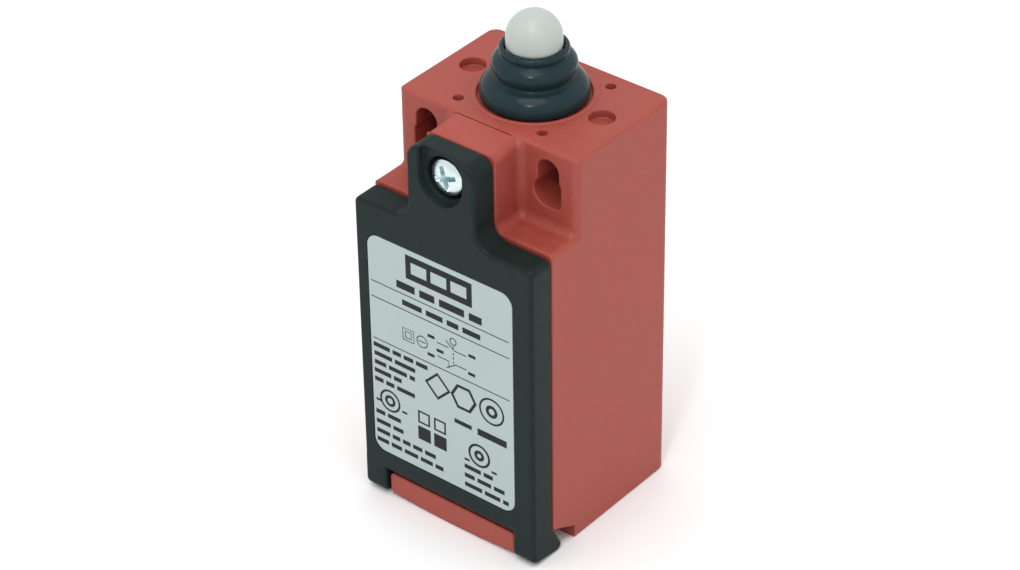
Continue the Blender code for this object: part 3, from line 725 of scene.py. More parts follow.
def housing_cutters():
    cutters = []
    low = (-CHAMBER_HALF_X, HOUSING_FRONT_Y - 5, CHAMBER_FLOOR_Z)
    chamber = box("chamber", low, (CHAMBER_HALF_X, CHAMBER_BACK_Y, CHAMBER_ROOF_Z))
    cutters.append(soften(chamber, 0.8, 4))
    entry = [(0.0, -1.0), (10.9, -1.0), (10.9, 0.0), (10.2, 0.7), (10.2, 9.6), (9.6, 10.2)]
    entry += [(9.6, 12.0), (0.0, 12.0)]
    cutters.append(turned("entry", entry, (0, ENTRY_Y, 0), segments=96))
    notch = [(HOUSING_FRONT_Y - 2, 4.8), (HOUSING_FRONT_Y, 4.3), (-5.95, 2.2), (-5.95, -1.0)]
    notch.append((HOUSING_FRONT_Y - 2, -1.0))
    for side in (-1, 1):
        ends = sorted((side * (FOOT_INNER_X - CLEARANCE), side * (HALF_WIDTH + 1)))
        cutters.append(prism(f"notch_{side}", notch, "YZ", *ends))
        for name, outline_of, mouths, end in (
            ("slot", slot_outline, ("front", "back"), BACK_Y),
            ("upper", upper_slot_outline, ("front",), TOP_FRONT_Y + UPPER_SLOT_DEPTH),
        ):
            cutters.append(flared_cutter(f"{name}_{side}", outline_of, side, mouths, TOP_FRONT_Y, end))
        blind = (side * 10.8, AXIS_Y + 0.4, TOP_Z)
        cutters.append(turned(f"blind_{side}", hole_profile(1.8, 1.2), blind))
        for end in (-1, 1):
            pin = (side * 7.0, AXIS_Y + end * 7.2, TOP_Z)
            cutters.append(turned(f"pin_{side}_{end}", hole_profile(0.72, 2.5), pin, segments=32))
    return cutters


def shaft_cutters():
    """Bores for the bush, the clip, the boot's seat and the cover screw."""
    axis = (0, AXIS_Y, 0)
    seat = [(0.0, 60.0), (7.55, 60.0), (BOOT_SEAT_R, 60.12), (BOOT_SEAT_R, 61.5), (0.0, 61.5)]
    screw = (0, 0, COVER_SCREW_Z)
    washer = [(0.0, HOUSING_FRONT_Y - 1), (3.35, HOUSING_FRONT_Y - 1), (3.3, HOUSING_FRONT_Y)]
    washer += [(3.0, HOUSING_FRONT_Y + 0.3), (3.0, -6.5), (2.6, -6.5), (2.6, -1.95), (0.0, -1.95)]
    low = (-BOSS_HALF_X, TOP_FRONT_Y - 0.17, TOP_Z - 0.28)
    groove = box("groove", low, (4.3, TOP_FRONT_Y + 0.05, TOP_Z + 1))
    return [
        turned("clip_bore", drum(4.3, 44.8, 50.6), axis),
        turned("bush_bore", drum(5.3, 50.0, 61.5), axis),
        turned("boot_seat", seat, axis, segments=96),
        turned("washer_bore", washer, screw, "Y"),
        groove,
    ]


def back_cutters():
    """A shallow panel and the round marks of ejector pins on the back."""
    rings = []
    for slope, depth in ((0.25, -0.25), (0.0, 0.0), (0.0, 1.0)):
        outline = rectangle((-11.5 + slope, 5.0 + slope), (11.5 - slope, 46.0 - slope), 1.5 - slope)
        rings.append(place(outline, "XZ", BACK_Y + depth))
    cutters = [loft("back_panel", rings)]
    for side in (-1, 1):
        for height in (9.5, 41.5):
            mark = [(0.0, BACK_Y - 0.35), (1.75, BACK_Y - 0.35), (1.8, BACK_Y + 1), (0.0, BACK_Y + 1)]
            cutters.append(turned(f"mark_{side}_{height}", mark, (side * 8.6, 0, height), "Y", 40))
    return cutters


def slope_boss(shell):
    """Let the boss's top fall gently towards its front."""
    fall = 0.075
    lowest = 58.0
    for vertex in shell.data.vertices:
        ahead = TOP_FRONT_Y - vertex.co.y / MM
        if ahead > 0 and vertex.co.z / MM > lowest and abs(vertex.co.x / MM) < BOSS_HALF_X + 0.1:
            vertex.co.z -= fall * ahead * MM


def make_housing():
    inner, behind = HALF_WIDTH - BACK_CORNER_R, BACK_Y - BACK_CORNER_R
    plan = [(-HALF_WIDTH, HOUSING_FRONT_Y), (HALF_WIDTH, HOUSING_FRONT_Y)]
    plan += arc((inner, behind), BACK_CORNER_R, 0, 90, 10)
    plan += arc((-inner, behind), BACK_CORNER_R, 90, 180, 10)
    shell = prism("housing_shell", plan, "XY", 0, TOP_Z)
    recesses = []
    for side in (-1, 1):
        inner, outer = sorted((side * BOSS_HALF_X, side * (HALF_WIDTH + 1)))
        low = (inner, HOUSING_FRONT_Y - 1, SHOULDER_Z)
        recesses.append(box(f"recess_{side}", low, (outer, TOP_FRONT_Y, TOP_Z + 1)))
    carve(shell, recesses)
    soften(shell, block_radius, 5)
    slope_boss(shell)
    carve(shell, housing_cutters())
    join(shell, [housing_lip(), *catches(), *top_details()])
    carve(shell, shaft_cutters() + back_cutters())
    hand_over(shell, "housing", "housing", "red_plastic")
    make_entry_thread()


def triangle_wave(phase):
    """0 at whole numbers and 1 halfway between."""
    return 1 - abs(2 * (phase % 1.0) - 1)


def make_entry_thread():
    """Internal thread of the cable entry, its root sunk in the wall."""
    bottom = 0.4
    top = 10.0
    centre = (0, ENTRY_Y, 0)
    steps = int(top / ENTRY_PITCH * THREAD_STEPS)
    depth = ENTRY_MAJOR_R - ENTRY_CORE_R

    def radius_at(share, height):
        lead_in = min(1.0, max(0.0, (height - 0.3) / 1.2))
        wave = min(1.0, max(0.0, 1.5 * triangle_wave(height / ENTRY_PITCH - share) - 0.25))
        return ENTRY_MAJOR_R + 0.1 - depth * wave * lead_in

    inside = helical(centre, "Z", levels(bottom, top, steps), radius_at, 96)
    outside = helical(centre, "Z", (top, bottom), lambda share, height: 10.5, 96)
    thread = loft("entry_thread", inside + outside, closed=True)
    hand_over(thread, "housing", None, "red_plastic", smooth_angle=50.0)


def make_insert():
    """Brass insert with two knurled bands and a bore for the cover screw."""
    length = 4.0

    def knurl(share, height):
        if not (0.35 < height < 1.75 or 2.25 < height < 3.65):
            return 2.12
        crossed = triangle_wave(share * 22 + height * 1.1) + triangle_wave(share * 22 - height * 1.1)
        return 2.18 + 0.06 * crossed

    centre = (0, INSERT_FRONT_Y, COVER_SCREW_Z)
    outside = helical(centre, "Y", levels(0.0, length, 48), knurl, 132)
    inside = helical(centre, "Y", (length, 0.0), lambda share, height: 1.85, 132)
    insert = loft("screw_insert_knurled", outside + inside, closed=True)
    hand_over(insert, "housing", "screw_insert", "brass")


# --- Cover ---
def cover_outline():
    """Front outline of the plate and its tab."""
    shoulder = 8.3
    half = [(HALF_WIDTH, COVER_BOTTOM_Z)]
    half += arc((HALF_WIDTH - 1.0, COVER_TOP_Z - 1.0), 1.0, 0, 90, 8)
    half += arc((shoulder, COVER_TOP_Z + 2.6), 2.6, 270, 180, 12)
    half += arc((3.7, TAB_TOP_Z - 2.0), 2.0, 0, 90, 10)
    return mirrored(half)


def foot_outline():
    """Side outline of a hooked foot with its round toe behind."""
    points = [(COVER_FRONT_Y, COVER_BOTTOM_Z + 1.5), (COVER_FRONT_Y, 1.9)]
    points += arc((COVER_FRONT_Y + 1.3, 1.7), 1.3, 190, 262, 8)
    points += arc((-9.75, 1.05), 1.05, 270, 360, 8)
    points += [(-9.95, 3.2), (COVER_BACK_Y, 4.4), (COVER_BACK_Y, COVER_BOTTOM_Z + 1.5)]
    return points


def inset(outline, amount):
    """A closed outline moved inwards by an amount."""
    spots = [Vector(point) for point in outline]
    count = len(spots)
    area = sum(spots[index - 1].cross(spots[index]) for index in range(count))
    moved = []
    for index, spot in enumerate(spots):
        before = (spot - spots[index - 1]).normalized()
        after = (spots[(index + 1) % count] - spot).normalized()
        inward = Vector((-before.y - after.y, before.x + after.x)) * math.copysign(1.0, area)
        inward.normalize()
        share = max(0.5, math.cos(before.angle(after) / 2))
        moved.append(tuple(spot + inward * amount / share))
    return moved


def make_foot(side):
    """A hooked foot with all its side edges rounded."""
    rings = []
    for radius, edge, inward in ((0.4, FOOT_INNER_X, 1), (COVER_EDGE_R, HALF_WIDTH, -1)):
        quarter = []
        for along, sink in quarter_round(radius):
            outline = inset(foot_outline(), sink)
            quarter.append(place(outline, "YZ", side * (edge + inward * along)))
        rings += quarter[::-1] if inward > 0 else quarter
    return loft(f"foot_{side}", rings)


def cover_radius(middle, along):
    if near(middle.y, COVER_FRONT_Y, 0.06):
        return COVER_EDGE_R
    return 0.2 if near(middle.y, COVER_BACK_Y, 0.03) and middle.z > COVER_BOTTOM_Z + 1 else 0.0


def access_outline(half):
    """The open-topped slot in the tab, through which a driver reaches the cover's screw."""
    outline = arc((0, COVER_SCREW_Z), half, 180, 360, 36)
    return outline + [(half, TAB_TOP_Z + 1), (-half, TAB_TOP_Z + 1)]


def cover_cutters():
    inside_y = COVER_FRONT_Y + 2.0
    inner = box("cover_inside", (-12.2, inside_y, 10.4), (12.2, COVER_BACK_Y + 3, 45.9))
    skirt = box("skirt_inside", (-11.2, COVER_FRONT_Y + 1.0, 1.6), (11.2, COVER_BACK_Y + 3, 7.8))
    section = rectangle((-0.8, COVER_BACK_Y - 1.1), (0.8, COVER_BACK_Y + 1))
    groove = frame_ring("gasket_groove", GASKET_LOW, GASKET_HIGH, 1.3, section)
    screw = (0, COVER_FRONT_Y, COVER_SCREW_Z)
    bore = [(0.0, 0.6), (3.3, 0.6), (3.3, 1.2), (3.2, 1.28), (3.15, 1.4), (3.1, 2.75), (3.0, 2.85)]
    bore += [(2.1, 2.85), (1.85, 3.05), (1.85, 6.0), (0.0, 6.0)]
    counterbore = turned("counterbore", bore, screw, "Y", 96)
    mouths = []
    for grow, depth in ((-0.12, 1.2), (0.0, 1.08), (0.02, 0.35), (0.1, 0.12), (0.3, 0.0), (0.3, -1.0)):
        mouths.append(place(access_outline(ACCESS_R + grow), "XZ", COVER_FRONT_Y + depth))
    access = loft("access", mouths)
    low = (LABEL_LOW.x - LABEL_GAP, LABEL_LOW.z - LABEL_GAP)
    high = (LABEL_HIGH.x + LABEL_GAP, LABEL_HIGH.z + LABEL_GAP)
    outline = rectangle(low, high, 2.02, 12)
    label = prism("label_recess", outline, "XZ", COVER_FRONT_Y - 1, COVER_FRONT_Y + 0.25)
    return [soften(inner, 0.7, 4), soften(skirt, 0.3, 3), groove, access, counterbore, label]


def make_cover():
    cover = prism("cover_shell", cover_outline(), "XZ", COVER_FRONT_Y, COVER_BACK_Y)
    soften(cover, cover_radius, 5)
    join(cover, [make_foot(-1), make_foot(1)])
    carve(cover, cover_cutters())
    hand_over(cover, "cover", "cover", "black_plastic")


def make_label():
    outline = rectangle((LABEL_LOW.x, LABEL_LOW.z), (LABEL_HIGH.x, LABEL_HIGH.z), 1.9, 14)
    label = prism("label_sheet", outline, "XZ", LABEL_LOW.y, LABEL_HIGH.y)
    soften(label, 0.04, 2)
    hand_over(label, "cover", "label", "label_film")


def make_gasket():
    """Gasket cord with a domed face towards the housing."""
    section = arc((0.0, COVER_BACK_Y - 0.4), 0.5, -90, 270, 20)[:-1]
    gasket = frame_ring("gasket_cord", GASKET_LOW, GASKET_HIGH, 1.25, section, 10)
    hand_over(gasket, "cover", "cover_gasket", "black_rubber", smooth_angle=ROUND_SMOOTH_ANGLE)


# --- Label print ---
class Print:
    """Flat ink shapes gathered on the label and then given the ink's thickness."""

    def __init__(self):
        self.shape = bmesh.new()
        self.chance = random.Random(7)

    def face(self, points):
        self.shape.faces.new([self.shape.verts.new(Vector((x, 0, z)) * MM) for x, z in points])

    def bar(self, left, bottom, right, top):
        self.face([(left, bottom), (right, bottom), (right, top), (left, top)])

    def stroke(self, points, width, closed=False):
        """A line of one width along points, as a chain of joined quads."""
        spots = [Vector(point) for point in points]
        count = len(spots)
        rims = []
        for index, spot in enumerate(spots):
            before = spots[index - 1] if closed or index else spot
            after = spots[(index + 1) % count] if closed or index < count - 1 else spot
            along = (after - before).normalized()
            rims.append((spot + along.orthogonal() * width / 2, spot - along.orthogonal() * width / 2))
        last = count if closed else count - 1
        for index in range(last):
            (a, b), (c, d) = rims[index], rims[(index + 1) % count]
            self.face([a, b, d, c])

    def ring(self, centre, radius, width):
        self.stroke(arc(centre, radius, 0, 360, 40)[:-1], width, closed=True)

    def text(self, left, middle, right, height, weight=0.5):
        """A row of plain blocks, each standing for one word too small to read."""
        cursor = left
        while cursor < right - height * 0.5:
            wide = height * self.chance.uniform(1.3, 3.4)
            if right - cursor - wide < height * 1.4:
                wide = right - cursor
            half = height * weight
            self.bar(cursor, middle - half, cursor + wide, middle + half)
            cursor += wide + height * 0.5

    def finish(self, name):
        made = bmesh.ops.extrude_face_region(self.shape, geom=list(self.shape.faces))
        moved = [item for item in made["geom"] if isinstance(item, bmesh.types.BMVert)]
        bmesh.ops.translate(self.shape, vec=(0, 2 * PRINT_PROUD * MM, 0), verts=moved)
        front = COVER_FRONT_Y - PRINT_PROUD
        bmesh.ops.translate(self.shape, vec=(0, front * MM, 0), verts=self.shape.verts)
        return mesh_object(name, self.shape)


def print_heading(sheet):
    """A dark frame with three pale windows, and two rows of blocks between rules."""
    left, right, bottom, top = -6.3, 5.0, 38.9, 42.7
    border = 1.0
    sheet.bar(left, top - border, right, top)
    sheet.bar(left, bottom, right, bottom + border)
    for start, end in ((left, -5.4), (-2.7, -2.0), (0.7, 1.4), (4.1, right)):
        sheet.bar(start, bottom + border, end, top - border)
    sheet.text(-8.0, 37.35, 6.6, 1.6, 0.36)
    sheet.text(-7.1, 34.7, 6.3, 1.4, 0.3)
    for height in (36.05, 33.5, 26.65):
        sheet.bar(-12.5, height - 0.07, 11.1, height + 0.07)


def print_diagram(sheet):
    """Contact diagram: a roller that opens one pair of contacts and closes the other."""
    thin = 0.14
    for half in (0.95, 0.5):
        corners = rectangle((-6.2 - half, 29.6 - half), (-6.2 + half, 29.6 + half))
        sheet.stroke(corners + corners[:1], thin)
    sheet.ring((-3.8, 29.6), 0.9, thin)
    sheet.stroke([(-4.4, 29.6), (-3.2, 29.6)], thin)
    sheet.ring((1.6, 32.0), 0.52, thin)
    sheet.stroke([(-1.2, 30.7), (0.8, 30.7)], thin)
    sheet.stroke([(0.35, 31.7), (1.75, 30.6)], thin)
    sheet.stroke([(1.75, 30.6), (3.8, 30.6)], thin)
    for top in (31.3, 30.2, 29.5, 28.8):
        sheet.stroke([(1.6, top), (1.6, top - 0.42)], thin)
    sheet.stroke([(-1.2, 28.5), (0.8, 28.5), (0.8, 27.4)], thin)
    sheet.stroke([(0.4, 27.3), (2.0, 28.4), (3.8, 28.4)], thin)
    for left, middle in ((-2.8, 31.2), (-1.3, 29.45), (-2.9, 28.15), (4.2, 31.0), (4.1, 28.05)):
        sheet.text(left, middle, left + 1.2, 0.8, 0.3)


def print_marks(sheet):
    """Plain shapes in place of approval marks: lozenge, hexagon, rings, blocks and bars."""
    for centre, radius, sides in (((-1.3, 23.4), 2.0, 4), ((3.2, 23.4), 2.0, 6)):
        sheet.stroke(arc(centre, radius, 0, 360, sides)[:-1], 0.5, closed=True)
    sheet.ring((8.0, 23.4), 2.0, 0.3)
    sheet.ring((8.0, 23.4), 0.75, 0.5)
    sheet.bar(5.5, 18.5, 10.5, 19.6)
    sheet.ring((-9.9, 17.0), 1.65, 0.32)
    sheet.ring((-9.9, 17.0), 0.7, 0.45)
    for left in (-5.0, -2.2):
        sheet.bar(left, 13.0, left + 2.2, 15.2)
        sheet.stroke(rectangle((left + 0.2, 15.9), (left + 2.0, 17.7)), 0.4, closed=True)
    sheet.ring((5.7, 15.0), 1.7, 0.36)
    sheet.ring((5.7, 15.0), 0.6, 0.5)


def print_rows(sheet):
    """Rows of plain blocks in place of the small lettering."""
    small = 0.95
    rows = [(-12.5, 25.5, -3.0), (-12.4, 24.05, -5.2), (-12.4, 22.6, -5.3), (-12.5, 21.2, -7.7)]
    rows += [(-12.5, 19.75, -5.4), (1.5, 19.0, 4.5), (-12.5, 14.25, -8.1), (-12.5, 12.6, -7.7)]
    rows += [(-12.5, 11.0, -2.0), (-12.5, 9.5, -0.7), (3.1, 12.1, 8.0), (3.1, 10.6, 10.0)]
    rows += [(3.1, 9.05, 10.7)]
    for left, middle, right in rows:
        sheet.text(left, middle + 0.1, right, small, 0.36)
    for left, middle in ((-12.4, 16.4), (-7.8, 16.2), (3.1, 13.4), (7.8, 13.3)):
        sheet.text(left, middle, left + 0.9, 0.6, 0.3)


def make_print():
    sheet = Print()
    print_heading(sheet)
    print_diagram(sheet)
    print_marks(sheet)
    print_rows(sheet)
    printed = sheet.finish("label_print")
    hand_over(printed, "cover", None, "label_film", "ink")


# --- Screws and washer ---
SHANK_R = 1.5


def cross_cutter(name, centre, front_y, size, depth):
    """A tapered cross recess, turned a little, whose four wings narrow towards the bottom."""
    twist = math.radians(20)
    rings = []
    for reach, half, sink in ((size * 1.1, 0.46, -0.5), (size, 0.4, 0.1), (size * 0.5, 0.18, depth)):
        outline = []
        for quarter in range(4):
            turn = Matrix.Rotation(math.pi / 2 * quarter + twist, 2)
            for spot in ((half, half), (half * 0.85, reach), (-half * 0.85, reach)):
                point = turn @ Vector(spot)
                outline.append((centre[0] + point.x, centre[1] + point.y))
        rings.append(place(outline, "XZ", front_y + sink))
    return loft(name, rings)


def threaded_shank(name, centre, start, end):
    """A threaded shank along +Y with a chamfered tip."""
    pitch = 0.6
    major = SHANK_R
    core = major - 0.58 * pitch
    steps = int((end - start) / pitch * THREAD_STEPS)

    def radius_at(share, height):
        wave = triangle_wave(height / pitch - share)
        thread = core + (major - core) * min(1.0, 1.25 * wave)
        tip = major - max(0.0, height - (end - 0.5)) * 0.9
        neck = major if height < start + 0.02 else core + (major - core) * 2
        return min(thread, tip, neck)

    return loft(name, helical(centre, "Y", levels(start, end, steps), radius_at, 36))


def make_screw(node, head_r, head_high, cross):
    """A pan-head screw with a cross recess and a threaded shank, on the body of its own name."""
    low, high = extent(node)
    centre = ((low.x + high.x) / 2, low.y, (low.z + high.z) / 2)
    length = high.y - low.y
    dome = 0.5
    cross_depth = 1.15
    profile = [(0.0, 0.0), (head_r * 0.35, 0.03), (head_r * 0.62, 0.12), (head_r * 0.82, 0.28)]
    profile += [(head_r * 0.95, dome), (head_r, dome + 0.28), (head_r, head_high - 0.12)]
    profile += [(head_r - 0.12, head_high), (SHANK_R * 0.95, head_high), (SHANK_R * 0.9, head_high + 0.5)]
    profile += [(0.0, head_high + 0.5)]
    screw = turned(f"{node}_threaded", profile, centre, "Y", 72)
    carve(screw, [cross_cutter("cross", (centre[0], centre[2]), low.y + 0.05, cross, cross_depth)])
    join(screw, [threaded_shank("shank", centre, head_high + 0.2, length)])
    hand_over(screw, node, node, "zinc_steel")


def make_screws():
    """Each screw's node, head radius, head height and cross size."""
    make_screw("cover_screw", 2.7, 1.75, 1.8)
    for number in TERMINALS:
        make_screw(f"terminal_screw_{number}", 2.6, 2.0, 1.6)


def make_washer():
    profile = [(1.6, 0.1), (1.7, 0.0), (2.4, 0.0), (2.5, 0.1)]
    profile += [(2.5, 0.5), (2.4, 0.6), (1.7, 0.6), (1.6, 0.5)]
    centre = (0, extent("captive_washer")[0].y, COVER_SCREW_Z)
    washer = turned("captive_washer_ring", profile, centre, "Y", 48, closed=True)
    hand_over(washer, "cover_washer", "captive_washer", "nylon")


# --- Plunger, boot, bush and clip ---
def make_plunger():
    centre_z = PLUNGER_HIGH.z - DOME_R
    profile = [(0.0, PLUNGER_HIGH.z)]
    profile += arc((0, centre_z), DOME_R, 90, 0, 24)[1:]
    profile += [(DOME_R, 67.9), (3.72, 67.82), (3.4, 67.6), (3.4, 66.9), (3.72, 66.68), (DOME_R, 66.6)]
    profile += [(DOME_R, 64.9), (3.7, 64.7), (3.5, 64.6), (2.6, 64.6), (2.5, 64.5), (2.5, 50.1)]
    profile += [(2.42, 50.0), (1.8, 50.0), (1.8, 49.3), (2.42, 49.3), (2.5, 49.2), (2.5, 45.4)]
    profile += [(2.3, 45.05), (2.0, 44.9), (0.0, 44.9)]
    plunger = turned("plunger_stem", profile, (0, AXIS_Y, 0), segments=96)
    hand_over(plunger, "plunger", "plunger", "white_plastic")


def make_boot():
    """Rubber boot: lip on the plunger, bulge, groove and base flange."""
    outer = [(4.02, 7.28), (4.3, 7.36), (4.6, 7.2), (4.7, 6.9), (4.62, 6.55), (4.5, 6.25), (4.62, 6.0)]
    outer += [(5.1, 5.72), (5.55, 5.25), (5.75, 4.65), (5.65, 4.0), (5.3, 3.42), (5.2, 3.05)]
    outer += [(5.55, 2.78), (6.15, 2.5), (6.8, 2.0), (7.22, 1.35), (7.36, 0.6), (7.25, 0.0), (7.05, -0.2)]
    inner = [(4.75, -0.2), (4.6, 0.2), (4.35, 1.4), (4.35, 3.3), (4.75, 3.95), (4.95, 4.6), (4.7, 5.2)]
    inner += [(4.2, 5.65), (3.94, 6.1), (3.88, 6.7)]
    profile = smooth_curve(outer, 5) + smooth_curve(inner, 4)
    boot = turned("boot_skin", profile, (0, AXIS_Y, TOP_Z), segments=112, closed=True)
    shade(boot, "black_rubber", 70.0)
    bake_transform(boot)
    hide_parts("boot")


def make_bush():
    profile = [(4.35, 59.7), (4.9, 59.7), (5.0, 59.6), (5.0, 50.4), (4.9, 50.3), (2.75, 50.3), (2.6, 50.45)]
    profile += [(2.6, 52.8), (2.7, 52.9), (4.2, 52.9), (4.3, 53.0), (4.3, 59.65)]
    bush = turned("guide_bush_sleeve", profile, (0, AXIS_Y, 0), segments=72, closed=True)
    hand_over(bush, "housing", "guide_bush", "grey_plastic")


def make_clip():
    """Open retaining ring with two eyes at its mouth."""
    outline = arc((0, 0), 3.7, 106, 434, 60) + arc((0, 0), 2.1, 412, 128, 48)
    outline = [(across, AXIS_Y + depth) for across, depth in outline]
    clip = prism("plunger_clip_ring", outline, "XY", 49.45, 49.85)
    eyes = []
    for side in (-1, 1):
        angle = 90 - side * 24
        spot = arc((0, AXIS_Y), 2.9, angle, angle, 1)[0]
        eyes.append(turned(f"eye_{side}", drum(0.3, 49, 50.5), (*spot, 0), segments=20))
    carve(clip, eyes)
    soften(clip, 0.05, 2)
    hand_over(clip, "plunger", "plunger_clip", "spring_steel")


# --- Contact block ---
CHANNEL_HALF_X = 3.8
BACK_PLATE_Y = 9.3
WINDOWS = ((21.0, 28.6), (31.4, 38.1))
# Each terminal's side, and whether it is one of the lower pair.
TERMINALS = {"13": (-1, True), "14": (1, True), "21": (-1, False), "22": (1, False)}
TERMINAL_X = 8.0
CONTACT_X = 5.7
LOWER_SCREW_Z = 17.6
UPPER_SCREW_Z = 41.2
STRIP_THICK = 0.8
NO_ARM_Z = 21.3
NC_ARM_Z = 37.0


def make_block_base():
    base = box("block_base_moulding", BASE_LOW, BASE_HIGH, 0.45)
    cutters = []
    low = (-CHANNEL_HALF_X, BASE_LOW.y - 1, BASE_LOW.z + 2)
    cutters.append(box("channel", low, (CHANNEL_HALF_X, BACK_PLATE_Y, BASE_HIGH.z + 1), 0.3))
    for bottom, top in WINDOWS:
        low = (BASE_LOW.x - 1, BASE_LOW.y - 1, bottom)
        cutters.append(box(f"window_{bottom}", low, (BASE_HIGH.x + 1, BACK_PLATE_Y - 0.5, top), 0.3))
    for side in (-1, 1):
        for height in (LOWER_SCREW_Z, UPPER_SCREW_Z):
            hole = [(0.0, -1.0), (2.3, -1.0), (2.3, 0.0), (1.85, 0.35), (1.85, 6.5), (0.0, 6.5)]
            centre = (side * TERMINAL_X, BASE_LOW.y, height)
            cutters.append(turned(f"hole_{side}_{height}", hole, centre, "Y", 40))
        for bottom in (15.4, 39.8):
            low, high = sorted((side * (BASE_HIGH.x - 0.35), side * (BASE_HIGH.x + 1)))
            flute = box(f"flute_{side}_{bottom}", (low, 2.5, bottom), (high, 9.5, bottom + 2.6), 0.15)
            cutters.append(flute)
    carve(base, cutters)
    hand_over(base, "housing", "block_base", "grey_plastic")


def make_block_lid():
    """Front frame that closes the channel and parts the four terminals with ribs."""
    front = -1.6
    back = BASE_LOW.y - CLEARANCE
    lid = box("block_lid_moulding", (-3.9, front, BASE_LOW.z + 0.5), (3.9, back, BASE_HIGH.z), 0.25)
    low = (BASE_LOW.x, front, NO_ARM_Z + STRIP_THICK + 0.5)
    wing = box("wing", low, (BASE_HIGH.x, back, NC_ARM_Z - 0.5), 0.25)
    rib = box("rib", (-0.6, -5.0, 15.0), (0.6, -1.0, 43.0), 0.22)
    cross_rib = box("cross_rib", (-11.0, -4.2, 29.0), (11.0, -1.0, 30.2), 0.22)
    join(lid, [wing, rib, cross_rib])
    windows = []
    for side in (-1, 1):
        for bottom in (24.0, 31.8):
            left, right = sorted((side * 5.0, side * 10.4))
            low, high = (left, front - 0.4, bottom), (right, front + 0.25, bottom + 3.4)
            windows.append(box(f"sight_{side}_{bottom}", low, high, 0.2))
    carve(lid, windows)
    hand_over(lid, "housing", "block_lid", "clear_plastic")


def strip_outline(lower):
    """Side outline of a terminal strip, bent through a right angle."""
    back = BACK_PLATE_Y - 2.0
    front = BASE_LOW.y - CLEARANCE
    outer = STRIP_THICK + 0.25
    if lower:
        top, end = NO_ARM_Z + STRIP_THICK, BASE_LOW.z + 0.5
        corners = [(back, top, 0), (front - STRIP_THICK, top, outer), (front - STRIP_THICK, end, 0)]
        corners += [(front, end, 0), (front, NO_ARM_Z, 0.25), (back, NO_ARM_Z, 0)]
        return rounded(corners)
    top, end = NC_ARM_Z + STRIP_THICK, BASE_HIGH.z + 0.6
    corners = [(back, NC_ARM_Z, 0), (back, top, 0), (front, top, 0.25), (front, end, 0)]
    corners += [(front - STRIP_THICK, end, 0), (front - STRIP_THICK, NC_ARM_Z, outer)]
    return rounded(corners)


def make_strip(number, side, lower, height):
    ends = sorted((side * 4.3, side * 11.5))
    strip = prism(f"terminal_{number}_strip", strip_outline(lower), "YZ", *ends)
    soften(strip, 0.1, 2)
    across = side * TERMINAL_X
    cutters = [turned("hole", drum(1.85, -3, 1), (across, 0, height), "Y", 48)]
    for offset in (-2.6, -2.0, 2.0, 2.6):
        low = (across - 2.8, -1.2, height + offset - 0.12)
        cutters.append(box(f"tooth_{offset}", low, (across + 2.8, -0.9, height + offset + 0.12)))
    carve(strip, cutters)
    hand_over(strip, "housing", f"terminal_{number}", "brass")


def rivet_profile(radius, height, domed_top):
    """A contact rivet with a shallow dome on its working side."""
    crown = height * 0.3
    half = [(radius, height - crown), (radius * 0.9, height - crown * 0.42)]
    half += [(radius * 0.6, height - crown * 0.1), (0.0, height)]
    points = [(0.0, 0.0), (radius * 0.96, 0.0), (radius, 0.04)] + half
    if domed_top:
        return points
    return [(across, height - up) for across, up in reversed(points)]


def make_rivet(node, body, side, domed_top):
    low, high = extent(node)
    profile = rivet_profile((high.x - low.x) / 2, high.z - low.z, domed_top)
    rivet = turned(f"{node}_rivet", profile, (side * CONTACT_X, AXIS_Y, low.z), segments=48)
    hand_over(rivet, body, node, "silver")


def make_clamp(number, side, height):
    """Saddle clamp with turned-down wings and two wire grooves underneath."""
    node = f"clamp_{number}"
    low, high = extent(node)
    across = side * TERMINAL_X
    clamp = box(f"{node}_saddle", low, high, 0.25)
    cutters = [turned("hole", drum(1.65, -4, -1), (across, 0, height), "Y", 48)]
    for offset in (-2.3, 2.3):
        groove = arc((offset, high.y + 0.5), 0.85, 180, 360, 16)
        outline = [(depth, height + up) for up, depth in groove]
        cutters.append(prism(f"wire_groove_{offset}", outline, "YZ", low.x - 1, high.x + 1))
    for end in (-1, 1):
        spot = (across + end * 3.3, 0, height)
        cutters.append(turned(f"nick_{end}", drum(0.7, -4, -1), spot, "Y", 32))
    carve(clamp, cutters)
    hand_over(clamp, node, node, "zinc_steel")


def make_terminals():
    for number, (side, lower) in TERMINALS.items():
        height = LOWER_SCREW_Z if lower else UPPER_SCREW_Z
        make_strip(number, side, lower, height)
        make_rivet(f"fixed_contact_{number}", "housing", side, lower)
        make_clamp(number, side, height)


# --- Moving contacts and springs ---
def make_pusher():
    low, high = extent("pusher")
    pusher = box("pusher_block", low, high, 0.35)
    stem_mark = [(0.0, high.z - 0.25), (1.1, high.z - 0.25), (1.25, high.z + 1), (0.0, high.z + 1)]
    carve(pusher, [turned("mark", stem_mark, (0, AXIS_Y, 0), segments=40)])
    hand_over(pusher, "pusher", "pusher", "nylon")


def make_carrier():
    low, high = extent("contact_carrier")
    carrier = box("contact_carrier_moulding", low, high, 0.3)
    cutters = [box("fork", (-2.0, AXIS_Y - 5, 36.0), (2.0, AXIS_Y + 5, 43), 0.25)]
    for bridge in ("bridge_no", "bridge_nc"):
        under, over = extent(bridge)
        start = (-5, AXIS_Y - 2.4, under.z - CLEARANCE)
        cutters.append(box(f"slot_{bridge}", start, (5, AXIS_Y + 2.4, over.z + CLEARANCE), 0.12))
    for face in (-1, 1):
        front, back = sorted((AXIS_Y + face * 2.95, AXIS_Y + face * 4.5))
        cutters.append(box(f"panel_{face}", (-2.3, front, 28.4), (2.3, back, 32.6), 0.15))
    carve(carrier, cutters)
    hand_over(carrier, "carrier", "contact_carrier", "black_plastic", "carrier")


